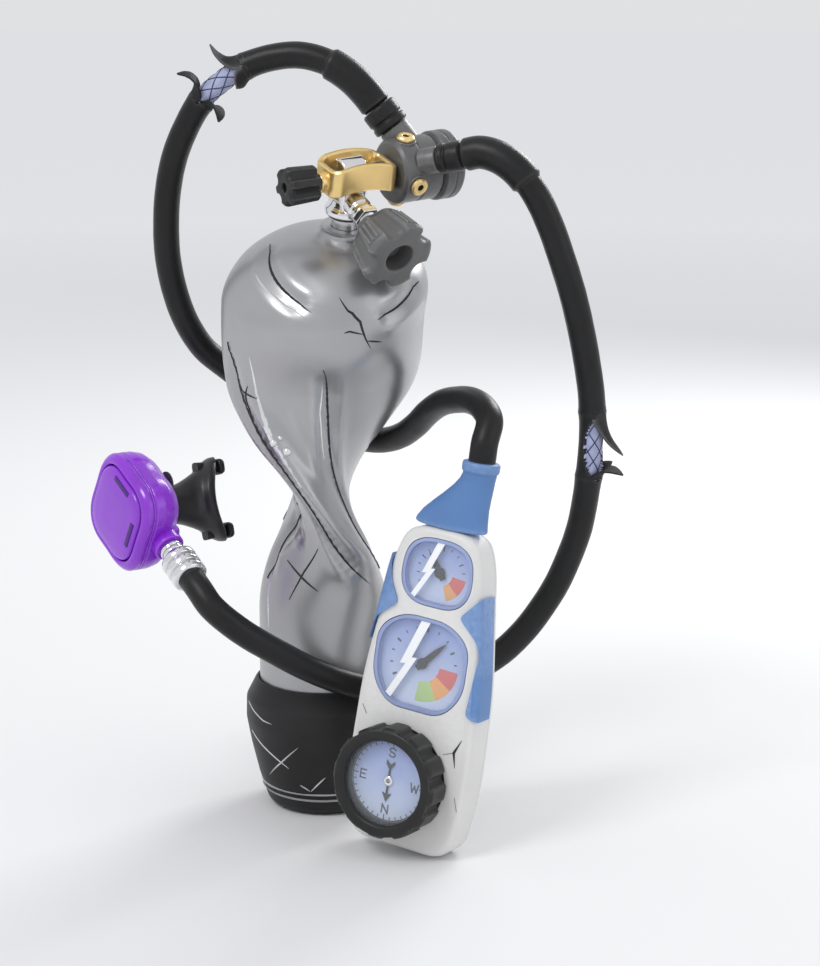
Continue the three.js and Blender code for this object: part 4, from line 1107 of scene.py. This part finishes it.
def torn_hose(name, route, tear, slit, sleeve, node, flaps):
    """A rubber hose whose cover is torn open between two places, down to the braid.

    tear is the two route points and how far past each the tear runs, in millimetres. slit is None where the cover is
    gone all round, or the direction that a slit faces and its half-width in degrees. Each flap is the end that it
    hangs from, the direction that it lies in, its reach and width in millimetres and how far it curls in degrees.
    """
    line = Line(catmull([MM * Vector(p) for p in route], 10), 1.5 * MM)

    def length_at(index):
        place = MM * Vector(route[index])
        return min(range(len(line.points)), key=lambda k: (line.points[k] - place).length) * line.step

    first, before, last, after = tear
    start, end = length_at(first) - before * MM, length_at(last) + after * MM
    middle = (start + end) / 2

    def bare(s, angle):
        """Whether the braid shows there."""
        if slit:
            t = (s - start) / (end - start)
            if not 0 < t < 1:
                return False
            away = abs((angle - line.facing(middle, slit[0]) + math.pi) % (2 * math.pi) - math.pi)
            return away < math.radians(slit[1]) * math.sin(math.pi * t) ** 0.6
        saw = abs(((angle * 4 / (2 * math.pi)) % 1.0) - 0.5) * 2
        wander = MM * (5 * saw + 3 * noise.noise(Vector((3 * math.cos(angle), 3 * math.sin(angle), 1))))
        return start + wander < s < end - wander

    def radius(s, angle):
        if bare(s, angle):
            return CORE_R
        near = min(abs(s - start), abs(s - end))
        curl = 0.9 * MM * math.exp(-near / (4 * MM))
        scuff = 0.12 * MM * noise.noise(Vector((s * 90, math.cos(angle) * 2, math.sin(angle) * 2)))
        return HOSE_R + curl + scuff

    sides = 56
    mesh = skin_rings(tube_rings(line, radius, sides))
    mesh.materials.append(MATERIALS["hose"])
    mesh.materials.append(MATERIALS["braid"])
    for face in mesh.polygons:
        ring, side = divmod(face.index, sides)
        if bare((ring + 0.5) * line.step, 2 * math.pi * (side + 0.5) / sides):
            face.material_index = 1
    hose = new_object(name, mesh, None, sharp=50)
    finished(hose, "tank", "hose_rubber", node)

    torn = []
    for at_end, direction, *size in flaps:
        edge = (start, end)[at_end]
        torn.append(flap(line, edge, 1 - 2 * at_end, line.facing(edge, direction), *size))
    shreds = finished(joined(f"{name}_torn_flaps", torn), "tank", "hose_rubber")

    strands = []
    for winding in (1, -1):
        for turn in round_angles(5):
            lengths = [start + (end - start) * i / 49 for i in range(50)]
            path = [line.around(s, turn + winding * (s - start) / (14 * MM), CORE_R) for s in lengths]
            strands.append(rod("strand", path, 1.2 * MM, 0.55 * MM, 6, "strand"))
    braid = finished(joined(f"{name}_braid_strands", strands), "tank", "hose_rubber")

    sleeve_line = Line(line.points[:max(3, round(sleeve * MM / line.step))], 1.2 * MM)

    def sleeve_radius(s, angle):
        foot = smooth_step(s / (3 * MM)) * smooth_step((sleeve_line.length - s) / (4 * MM))
        return HOSE_R + (SLEEVE_R - HOSE_R) * foot

    cover = skinned(f"{name}_strain_relief", tube_rings(sleeve_line, sleeve_radius, 40), "hose")
    finished(cover, "tank", "hose_rubber", f"{node}_sleeve")
    return hose, line, (shreds, braid, cover)


def flap(line, edge, direction, angle, reach, wide, curl):
    """A broad pointed tongue of torn cover, which leaves the hose at the tear's edge and curls outwards."""
    steps, across = 18, 12
    thick = 2.6 * MM
    upper, lower = [], []
    along, out = -4 * MM, HOSE_R - 0.4 * MM
    for i in range(steps + 1):
        t = i / steps
        lean = math.radians(curl) * smooth_step(t * 1.1)
        p, tangent, u, v = line.at(edge + direction * along)
        half = MM * wide / 2 * (1 - t ** 2.4) * (1 + 0.1 * math.sin(8 * t + angle)) + 0.3 * MM
        depth = thick * (1 - 0.5 * t)
        for j in range(across + 1):
            a = angle + 0.25 * t * math.sin(5 * angle) + half * (2 * j / across - 1) / max(out, HOSE_R)
            radial = math.cos(a) * u + math.sin(a) * v
            normal = math.cos(lean) * radial - math.sin(lean) * direction * tangent
            surface = p + out * radial
            upper.append(surface + 0.3 * depth * normal)
            lower.append(surface - 0.7 * depth * normal)
        step = reach * MM / steps
        along += math.cos(lean) * step
        out += math.sin(lean) * step
    row, count = across + 1, len(upper)
    faces = []
    for a in (i * row + j for i in range(steps) for j in range(across)):
        b = a + row
        faces += [(a, a + 1, b + 1, b), (count + a, count + b, count + b + 1, count + a + 1)]
    for i in range(steps):
        a, b = i * row, (i + 1) * row
        faces.append((a, b, count + b, count + a))
        faces.append((a + across, b + across, count + b + across, count + a + across)[::-1])
    for j in range(across):
        a, b = j, steps * row + j
        faces += [(a, count + a, count + a + 1, a + 1), (b + 1, count + b + 1, count + b, b)]
    return new_object("flap", mesh_of("flap", upper + lower, faces), "torn", sharp=60)


def fitting(name, place, low, high, r, node):
    points = [[0, low], [r - 1.8, low], [r, low + 1.6], [r, low + 6], [r - 1.2, low + 7.2], [r - 1.2, low + 9],
              [r, low + 10.2], [r, high - 2], [r - 1.6, high], [0, high]]
    piece = lathe(name, points, place, "hose", 0.7, 56)
    return finished(piece, "tank", "hose_rubber", node)


def build_hoses():
    gauge, line, parts = torn_hose(
        "gauge_hose_rubber", GAUGE_ROUTE, (6, 0, 8, 2), None, 62, "gauge_hose",
        [(0, (-0.35, -0.3, 0.9), 34, 30, 95), (0, (0.5, -0.6, -0.6), 22, 24, 60), (0, (0.1, 0.9, -0.2), 22, 26, 60),
         (1, (-0.75, -0.3, 0.6), 34, 28, 125), (1, (0.7, -0.5, -0.5), 34, 22, 150), (1, (0.2, 0.9, 0.3), 22, 24, 70)])
    end = fitting("gauge_hose_end", on_port(*GAUGE_PORT), 32, 54, 16.5, "gauge_hose_fitting")
    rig.cord(gauge, exit=line.points[0], length=line.length, diameter=2 * HOSE_R, far_end="object", stiffness="stiff",
            path=line.points, with_pieces=(*parts, end))

    breathing, line, parts = torn_hose(
        "breathing_hose_rubber", BREATHING_ROUTE, (11, 16, 12, 14), ((0.62, -0.78, 0), 78), 70, "breathing_hose",
        [(0, (1, -0.25, 0), 48, 32, 42), (1, (0.85, -0.5, 0), 30, 26, 120), (1, (0.9, 0.5, 0), 22, 20, 80)])
    end = fitting("breathing_hose_end", on_port(*BREATHING_PORT), 17, 40, 13.5, "breathing_hose_fitting")
    rings = []
    for z in (-97 + 9.4 * i for i in range(3)):
        rings += [[13, z], [16, z + 1.2], [16.5, z + 4.4], [16, z + 7.6], [13, z + 8.8]]
    ferrule = lathe("hose_ferrule", [[0, -97]] + rings + [[0, -69.4]], INLET, "chrome", 0.8, 72)
    finished(ferrule, "tank", "chrome", "breathing_hose_ferrule")
    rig.cord(breathing, exit=line.points[0], length=line.length, diameter=2 * HOSE_R, far_end="object",
            stiffness="stiff", path=line.points, with_pieces=(*parts, end, ferrule))


# ---------- the second stage ----------
def diamond(r, z):
    """A rounded diamond about z, with a flat side towards the inlet."""
    return [Vector((reach * math.cos(a), reach * math.sin(a), z))
            for a, reach in ((a, r * (0.93 - 0.07 * math.cos(4 * a))) for a in round_angles(128))]


def diamond_loft(name, profile, place, material, radius=1.2, loop=False):
    rings = [[place @ (MM * p) for p in diamond(r, z)] for r, z in rounded_profile(profile, radius)]
    return skinned(name, rings, material, loop, sharp=40)


def build_case():
    """The purple housing, its cover ring and the purge cover in it."""
    shell = diamond_loft("case_shell", [[14, -22], [24, -22], [37, -20.8], [46, -17.4], [52, -9], [54, 0], [54, 8.4],
                                        [53.2, 9.1], [53.2, 10.2], [54, 10.9], [54, 12], [50, 12], [50, 0],
                                        [48, -8], [42, -13], [34, -16], [14, -17]], SECOND, "purple")
    snout = lathe("case_snout", [[11.4, -34], [13.4, -34], [14, -33], [14, -22], [16, -20.5]], SECOND, "purple",
                  0.6, 64)
    boss = lathe("case_boss", [[9.6, -55.5], [13.2, -55.5], [14, -54.6], [14, -46], [17, -41]], INLET, "purple",
                 0.8, 72)
    finished(joined("case_moulded", [shell, snout, boss]), "mouth_unit", "purple_plastic", "second_stage_housing")
    ring = diamond_loft("cover_moulded", [[44.2, 12.4], [53.5, 12.4], [54, 13], [54, 16], [53, 17.8], [51.4, 19.6],
                                          [49.4, 21], [47.4, 21.6], [45.4, 21.2], [44.2, 19.6], [44.2, 14]], SECOND,
                        "purple", 0.8, loop=True)
    finished(ring, "mouth_unit", "purple_plastic", "second_stage_cover")

    purge = [diamond_loft("purge_disc", [[1, 17], [42.6, 17], [43.2, 17.6], [43.2, 21], [42, 22.8], [40, 23.6],
                                         [34, 24.3], [20, 24.9], [1, 25]], SECOND, "purple", 0.9),
             lathe("purge_stem", [[0, 13.9], [5, 13.9], [5, 16], [0, 16]], SECOND, "purple", 0.3, 32),
             # The slots are dark boxes of painted shade on the cover.
             box_piece("purge_slot", (26, 5, 1.4), (0, -31, 24), SECOND, "slot", 0.6),
             box_piece("purge_slot", (5, 26, 1.4), (-31, 0, 24), SECOND, "slot", 0.6)]
    finished(joined("purge_cover_moulded", purge), "purge_button", "purple_plastic", "purge_cover")
    # A dark ring of painted shade at the bottom of the gap round the purge cover.
    gap = diamond_loft("purge_gap", [[43.4, 12.6], [44.1, 12.6], [44.1, 15.4], [43.4, 15.4]], SECOND, "slot", 0.1,
                       loop=True)
    finished(gap, "mouth_unit", "purple_plastic")


def build_mouthpiece():
    mouth_frame = turned(SECOND, -45, "Z")

    def oval(a, b, z):
        """A ring of the mouthpiece, whose long ends sweep back round the gums as it widens."""
        sweep = 17 * max(0, a - 20) / 19
        return [mouth_frame @ (MM * Vector((a * math.cos(t), b * math.sin(t), z - 25 - sweep * math.cos(t) ** 2)))
                for t in round_angles(96)]

    def square(side, w, d, z):
        """A rounded square ring of a bite tab, w and d across."""
        return [mouth_frame @ (MM * Vector((side * 30 + w / 2 * pinch(t), 1 + d / 2 * pinch(t, True), z - 25)))
                for t in round_angles(32)]

    outside = [(17.6, 17.6, -0.4), (17.6, 17.6, -3), (18.2, 18.2, -4.2), (17.6, 17.6, -5.6), (17.6, 17.4, -10),
               (18, 16.8, -16), (20, 16.5, -23), (24, 16.2, -29), (28.4, 16.6, -34), (33, 18.4, -37),
               (37, 22.8, -38.4), (39.4, 24.4, -41), (39.8, 24.4, -44.6), (38, 22.6, -46.8), (34, 18.2, -47),
               (29, 13.4, -47), (25, 10.4, -46.4), (22, 10.2, -40), (17, 10.6, -30), (14.6, 11.6, -24),
               (14.4, 13.4, -14), (14.4, 14.2, -8), (14.4, 14.4, -0.4)]
    parts = [skinned("mouthpiece_tube", [oval(*step) for step in outside], "silicone", loop=True, sharp=60)]
    arm = [(13, 10.6, -43), (12, 10, -52), (11.4, 9.4, -60), (12, 9.6, -66)]
    pad = [(15 * scale, 20 * scale, z) for scale, z in
           ((0.6, -63.5), (0.88, -64.2), (1, -66), (1, -68), (0.9, -69.8), (0.6, -70.5))]
    for side in (-1, 1):
        for name, steps in (("bite_arm", arm), ("bite_pad", pad)):
            parts.append(skinned(name, [square(side, *step) for step in steps], "silicone", sharp=60))
    finished(joined("mouthpiece_moulded", parts), "mouth_unit", "silicone", "mouthpiece")

    tie = [lathe("tie_band", [[18.5, -32], [19.4, -32], [19.4, -28], [18.5, -28], [18.5, -32]], SECOND, "black",
                 0.3, 72),
           box_piece("tie_lock", (6.4, 5, 5.2), (0, 20.2, -30), SECOND, "black", 0.7),
           box_piece("tie_tail", (2.2, 8, 3.6), (4, 22, -30), SECOND, "black", 0.4)]
    finished(joined("mouthpiece_tie_nylon", tie), "mouth_unit", "black_plastic", "mouthpiece_tie")


def build_second_stage():
    build_case()
    build_mouthpiece()
    barrel = lathe("inlet_barrel_turned", [[0, -66], [10, -66], [11, -65], [11, -62.4], [10.2, -61.6],
                                           [10.2, -60.4], [11, -59.6], [11, -57.5], [9, -56], [9, -40]],
                   INLET, "chrome", 0.5, 72)
    finished(barrel, "mouth_unit", "chrome", "inlet_barrel")


def pinch(t, across=False):
    """A rounded square's outline at angle t, along x or y."""
    value = math.sin(t) if across else math.cos(t)
    return math.copysign(abs(value) ** 0.6, value)


# ---------- the console ----------
FRONT, BACK, SPLIT = -18, 18, 11
DEPTH = {"at": DEPTH_AT, "w": 35, "h": 30, "taper": 0.94}
PRESSURE = {"at": PRESSURE_AT, "w": 45, "h": 42, "taper": 1.0}


def rounded_outline(points, radius, steps=7):
    """A closed outline in x and z with every corner rounded."""
    clean = []
    for k, corner in enumerate(points):
        before, here, after = Vector(points[k - 1]), Vector(corner), Vector(points[(k + 1) % len(points)])
        enter = here.lerp(before, min(0.49, radius / (here - before).length))
        leave = here.lerp(after, min(0.49, radius / (here - after).length))
        for p in rounded_corner(enter, here, leave, steps):
            if not clean or (p - clean[-1]).length > 0.05:
                clean.append(p)
    return clean


def console_outline(grow):
    w, top = 60 + grow, 290 + grow
    right = [(w - 8, -grow), (w, 62), (w - 2, 150), (w - 18, top - 22), (w - 31, top)]
    return rounded_outline(right + [(-x, z) for x, z in reversed(right)], 24, 10)


def window_outline(gauge, grow):
    x, z, w, h = gauge["at"].x, gauge["at"].z, gauge["w"], gauge["h"]
    side = (w + grow) * gauge["taper"]
    return rounded_outline([
        (x - w - grow, z - h * 0.45 - grow), (x - w * 0.6, z - h - grow), (x + w * 0.6, z - h - grow),
        (x + w + grow, z - h * 0.45 - grow), (x + side, z + h * 0.6 + grow), (x + w * 0.5, z + h + grow),
        (x - w * 0.5, z + h + grow), (x - side, z + h * 0.6 + grow)], 14)


def upright(outline, y):
    return [CONSOLE @ (MM * Vector((p.x, y, p.y))) for p in outline]


def slab(name, outline, front, back, material, bevel=0.3):
    """An outline in x and z given thickness from y = front to y = back."""
    return bevelled(name, skin_rings([upright(outline, back), upright(outline, front)]), material, bevel, 2)


def console_loft(name, steps, material):
    """The console's outline grown by each step's first number, at each step's y."""
    return skinned(name, [upright(console_outline(grow), y) for grow, y in steps], material, sharp=40)


def soft_edge(grow, front, back, round_front, round_back):
    """Steps of grow and y that round a slab's two faces."""
    angles = [math.pi / 2 * i / 6 for i in range(7)]
    steps = [(grow - round_back * (1 - math.sin(a)), back - round_back * (1 - math.cos(a))) for a in angles]
    return steps + [(grow - round_front * (1 - math.cos(a)), front + round_front * (1 - math.sin(a)))
                    for a in angles]


def on_face(at, y):
    """A dial's own frame: x to the right, y up its dial, z towards the viewer."""
    turn = Matrix(((1, 0, 0, 0), (0, 0, -1, 0), (0, 1, 0, 0), (0, 0, 0, 1)))
    return CONSOLE @ Matrix.Translation(MM * Vector((at.x, y, at.z))) @ turn


def sector(name, place, inner, outer, start, end, height, material, steps=18):
    """A printed arc: degrees clockwise from straight up."""
    outline = []
    for r, order in ((outer, range(steps + 1)), (inner, range(steps, -1, -1))):
        for i in order:
            a = math.radians(start + (end - start) * i / steps)
            outline.append((r * math.sin(a), r * math.cos(a)))
    return printed(name, outline, 0.02, height, place, material)


def jagged(name, place, points, width, height, material):
    """A jagged flat line through x, y points, widest in its middle, laid on the shell as painted shade in its creases.
    """
    line = [Vector(p) for p in points]
    left, right = [], []
    for k, p in enumerate(line):
        along = (line[min(len(line) - 1, k + 1)] - line[max(0, k - 1)]).normalized()
        side = Vector((-along.y, along.x))
        w = width / 2 * (0.12 + math.sin(math.pi * k / (len(line) - 1)))
        left.append(p + side * w)
        right.append(p - side * w)
    return printed(name, left + right[::-1], 0.0, height, place, material)


LETTERS = {
    "N": [[(-1, -1.3), (-1, 1.3), (1, -1.3), (1, 1.3)]],
    "E": [[(0.9, 1.3), (-0.9, 1.3), (-0.9, -1.3), (0.9, -1.3)], [(-0.9, 0), (0.6, 0)]],
    "S": [[(1, 0.9), (0.4, 1.3), (-0.5, 1.3), (-1, 0.7), (-0.6, 0.1), (0.6, -0.1), (1, -0.7), (0.5, -1.3),
           (-0.5, -1.3), (-1, -0.9)]],
    "W": [[(-1.3, 1.3), (-0.7, -1.3), (0, 0.6), (0.7, -1.3), (1.3, 1.3)]],
}


def letter(name, place, strokes, size, width, height, material):
    pieces = []
    for stroke in strokes:
        for a, b in zip(stroke, stroke[1:]):
            a, b = Vector(a) * size, Vector(b) * size
            along = (b - a).normalized() * width / 2
            side = Vector((-along.y, along.x))
            outline = [a - along - side, b + along - side, b + along + side, a - along + side]
            pieces.append(printed("stroke", outline, 0.02, height, place, material))
    return joined(name, pieces)


def build_console():
    shell = console_loft("shell_moulded", soft_edge(0, FRONT, SPLIT, 5.5, 0.8), "shell")
    cutters = [slab("cut", console_outline(-4), FRONT + 4, SPLIT + 3, "slot", 0)]
    cutters += [slab("cut", window_outline(gauge, 0.6), FRONT - 3, 2, "slot", 0) for gauge in (DEPTH, PRESSURE)]
    cutters.append(lathe("cut", [[0, -4], [38.4, -4], [38.4, 30], [0, 30]], on_face(COMPASS_AT, 0), "slot", 0.01,
                         96))
    carved(shell, "DIFFERENCE", *cutters)
    parts = [shell, console_loft("shell_seam", [(-1.4, SPLIT - 0.6), (-1.4, SPLIT + 0.9)], "slot")]
    surface = turned(moved(CONSOLE, y=FRONT - 0.02), 90, "X")
    # Jagged strips of painted shade in the shell's creases.
    for path in ([(49, 112), (43, 99), (46, 86)], [(43, 99), (33, 95)], [(50, 60), (54, 48)],
                 [(-52, 120), (-47, 112)]):
        parts.append(jagged("shell_crease", surface, path, 2.2, 0.35, "crease"))
    finished(joined("console_shell_moulded", parts), "tank", "shell_plastic", "console_shell")
    back = [console_loft("back_cover_moulded", soft_edge(0, SPLIT + 0.3, BACK, 0.6, 4.5), "shell")]
    for x, z in ((-44, 22), (44, 22), (-40, 236), (40, 236)):
        place = turned(moved(CONSOLE, x, BACK - 0.3, z), -90, "X")
        back.append(lathe("screw_head", [[0, 0], [3.4, 0], [3.4, 0.8], [2.6, 1.3], [0, 1.3]], place, "steel", 0.2,
                          28))
        # The screw's slot is a black bar of painted shade.
        back.append(box_piece("screw_slot", (4.6, 0.8, 0.4), (0, 0, 1.3), place, "needle", 0.05))
    finished(joined("console_back_moulded", back), "tank", "shell_plastic", "console_back_cover")

    build_grip("right", [(49, 134), (66, 129), (66, 243), (50, 240), (30, 218), (50, 200), (54, 188)])
    build_grip("left", [(-66, 171), (-57, 176), (-52, 200), (-31, 218), (-40, 236), (-46, 262), (-66, 266)])

    rings = []
    collar = [(32.6, 15.6, 0), (34, 17, 0.8), (34.4, 17.3, 2.4), (33.6, 17.1, 5), (31, 16.5, 12), (26.4, 15.8, 21),
              (22, 15, 30), (18, 14.4, 39), (15.7, 14.1, 46), (15, 14.6, 50.5), (15, 15, 52.6), (16, 16, 53.6),
              (16.6, 16.6, 55), (16.6, 16.6, 60), (16, 16, 61.6), (14.6, 14.6, 62.2)]
    for a, b, z in collar:
        lean = 20 * smooth_step(z / 55)
        rings.append([CONSOLE @ (MM * Vector((lean + a * math.cos(t), b * math.sin(t), 290.3 + z)))
                      for t in round_angles(96)])
    finished(skinned("console_collar_moulded", rings, "grip", sharp=50), "tank", "blue_rubber", "console_collar")
    build_gauge("depth", DEPTH, 20, -38, [("red", 96, 132), ("orange", 132, 160)])
    build_gauge("pressure", PRESSURE, 30, 42, [("red", 92, 122), ("orange", 122, 150), ("green", 150, 186)])
    build_compass()


def build_grip(name, patch):
    """A rubber pad wrapped over the console's edge: the patch of a slightly grown console that the outline covers."""
    skin = console_loft("grip_blank", soft_edge(2.6, FRONT - 2.6, 8, 6.5, 3), "grip")
    hollow = console_loft("cut", soft_edge(0.3, FRONT - 0.3, 16, 4.2, 1), "slot")
    carved(skin, "DIFFERENCE", hollow)
    carved(skin, "INTERSECT", slab("keep", rounded_outline(patch, 5), -40, 40, "slot", 0))
    mesh = skin.data
    mesh.materials.clear()
    mesh.materials.append(MATERIALS["grip"])
    for face in mesh.polygons:
        face.material_index = 0
    smoothed(mesh, 30)
    skin.name = f"console_{name}_grip_rubber"
    finished(skin, "tank", "blue_rubber", f"console_{name}_grip")


def build_gauge(name, gauge, needle_length, needle_angle, sectors):
    face = on_face(gauge["at"], DIAL_Y)
    rim = slab("rim", window_outline(gauge, 0), FRONT - 0.4, 3, "rim", 0.9)
    carved(rim, "DIFFERENCE", slab("cut", window_outline(gauge, -3), FRONT - 3, DIAL_Y, "slot", 0))
    print_height = 0.25
    parts = [rim, slab("dial_face", window_outline(gauge, -3.2), DIAL_Y - 0.12, DIAL_Y + 1, f"dial_{name}", 0)]
    w, h = gauge["w"], gauge["h"]
    reach = min(w, h) * 0.78
    for k in range(13):
        a = -120 + 20 * k
        long, wide = (4.4, 1.7) if k % 3 == 0 else (2.6, 1.1)
        parts.append(sector("tick", face, reach - long, reach, a - wide, a + wide, print_height, "mark", 2))
    for material, start, end in sectors:
        parts.append(sector("sector", face, reach * 0.5, reach + 1.6, start, end, print_height + 0.06, material))
    finished(joined(f"{name}_capsule_printed", parts), "tank", "dial", f"{name}_capsule")

    hand = turned(face, -needle_angle, "Z")
    right = [(2.6, -7), (3.2, 0), (2.4, needle_length * 0.6), (0.2, needle_length)]
    blade = [(-2.6, -7)] + right + [(-x, y) for x, y in right[:0:-1]]
    needle = [prism("blade", blade, 1.6, 2.9, hand, "needle", 0.3),
              lathe("hub", [[0, 1.2], [4.8, 1.2], [5, 2], [5, 3.2], [4.2, 3.8], [0, 4]], hand, "needle", 0.4, 40)]
    finished(joined(f"{name}_needle_painted", needle), f"{name}_pointer", "needle", f"{name}_needle")
    glass = slab(f"{name}_lens_clear", window_outline(gauge, -3.4), FRONT + 0.6, FRONT + 2.8, "glass", 0.4)
    finished(glass, "tank", "lens", f"{name}_lens")
    # Painted highlight: a white lightning-shaped reflection laid on the front of the lens.
    bolt = [(0.1, 0.92), (-0.2, 0.1), (-0.08, 0.12), (-0.54, -0.84), (-0.66, -0.76), (-0.32, -0.05), (-0.44, -0.07),
            (-0.1, 0.92)]
    flash = prism(f"{name}_glass_flash", [(x * w, y * h) for x, y in bolt], 0, 0.3,
                  on_face(gauge["at"], FRONT + 0.55), "crack", 0.1)
    finished(flash, "tank", "lens")


def build_compass():
    place = on_face(COMPASS_AT, 0)

    def notched(angle, r, z):
        return min(r, scallop(angle, r, 12, 4, 6, 0.6)) if r >= 47.5 else r

    bezel = lathe("compass_bezel_notched", [[44.4, 18.3], [48, 18.3], [50, 20.6], [50, 44], [48.6, 46.4], [46.8, 48],
                                            [41, 48], [38.8, 47.2], [37.5, 45.6], [37.5, 42.2], [44.4, 42.2],
                                            [44.4, 18.3]], place, "black", 0.9, 200, notched, sharp=50)
    finished(bezel, "bezel", "black_plastic", "compass_bezel")
    case = [lathe("compass_case", [[0, 4], [38, 4], [38, 18], [44, 18.3], [44, 41.6], [41.6, 41.6], [41.6, 29.6],
                                   [0, 29.6]], place, "black", 0.5, 128),
            lathe("compass_pin", [[0, 28], [1.4, 28], [1.4, 35.4], [0, 37]], place, "steel", 0.2, 20)]
    finished(joined("compass_capsule_moulded", case), "tank", "black_plastic", "compass_capsule")

    card = lathe("card", [[1.9, 31], [36.6, 31], [37, 31.4], [37, 33], [36.6, 33.4], [1.9, 33.4], [1.9, 31]], place,
                 "dial_compass", 0.15, 128)
    top = moved(place, z=33.4)
    parts = [card, sector("outer_ring", top, 35.4, 36.4, 0, 359.9, 0.2, "mark", 96)]
    for k in range(36):
        inner = 30.4 if k % 9 == 0 else 32.4
        parts.append(sector("tick", top, inner, 35.2, 10 * k - 0.7, 10 * k + 0.7, 0.2, "mark", 2))
    for text, angle in (("N", 180), ("E", 270), ("S", 0), ("W", 90)):
        a = math.radians(angle)
        spot = moved(top, 25.8 * math.sin(a), 25.8 * math.cos(a))
        parts.append(letter("letter", spot, LETTERS[text], 2.9, 1.3, 0.25, "mark"))
    arrow = [(0, -19), (4.4, -11), (0.9, -12), (0.9, 11), (4, 15), (4, 18.5), (0, 14.5), (-4, 18.5), (-4, 15),
             (-0.9, 11), (-0.9, -12), (-4.4, -11)]
    parts.append(printed("arrow", arrow, 0.25, 1.2, top, "needle"))
    parts.append(lathe("pivot", [[1.9, 0.2], [4.6, 0.2], [4.6, 1.4], [3.8, 1.9], [1.9, 1.9], [1.9, 0.2]], top,
                       "chrome", 0.3, 36))
    finished(joined("compass_card_printed", parts), "compass_rose", "dial", "compass_card")
    lens = lathe("compass_lens_clear", [[0, 38], [40.6, 38], [41.2, 38.5], [41.2, 40.4], [40.4, 41], [0, 41.2]],
                 place, "glass", 0.3, 96)
    finished(lens, "tank", "lens", "compass_lens")


def dial_materials():
    up = Vector(CONSOLE.col[2][:3])
    # Each dial and the compass card fade from pale blue at their bottom to darker blue at their top.
    for name, at, span in (("depth", DEPTH_AT, 30), ("pressure", PRESSURE_AT, 42), ("compass", COMPASS_AT, 37)):
        middle = (CONSOLE @ (MM * at)).dot(up)
        MATERIALS[f"dial_{name}"] = gradient_material(
            f"dial_{name}", (0.62, 0.7, 0.86), (0.2, 0.29, 0.66), up, middle - span * MM, middle + span * MM)


# ---------- what the CAD's own pieces still show ----------
INSIDE = {
    "steel": ("inlet_filter", "piston_spring", "poppet_spring", "demand_lever"),
    "chrome": ("piston",),
    "brass": ("valve_dip_tube", "bourdon_tube"),
    "silicone": ("neck_o_ring", "outlet_o_ring", "diaphragm", "exhaust_valve"),
    "black": ("valve_seat_plunger", "piston_seat", "poppet"),
}


def colour_inside():
    """The small pieces inside stay as the CAD made them and take the materials of what is round them."""
    for material, nodes in INSIDE.items():
        for node in nodes:
            piece = bpy.data.objects[node]
            piece.data.materials.clear()
            piece.data.materials.append(MATERIALS[material])


build_studio()
dial_materials()
build_hoses()
build_tank()
build_boot()
build_valve()
build_handwheel()
build_yoke()
build_first_stage()
build_second_stage()
build_console()
colour_inside()

made_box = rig.bounds()
with open("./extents.json", "w") as out:
    json.dump({"cad": [list(p) for p in cad_box], "visual": [list(p) for p in made_box]}, out)
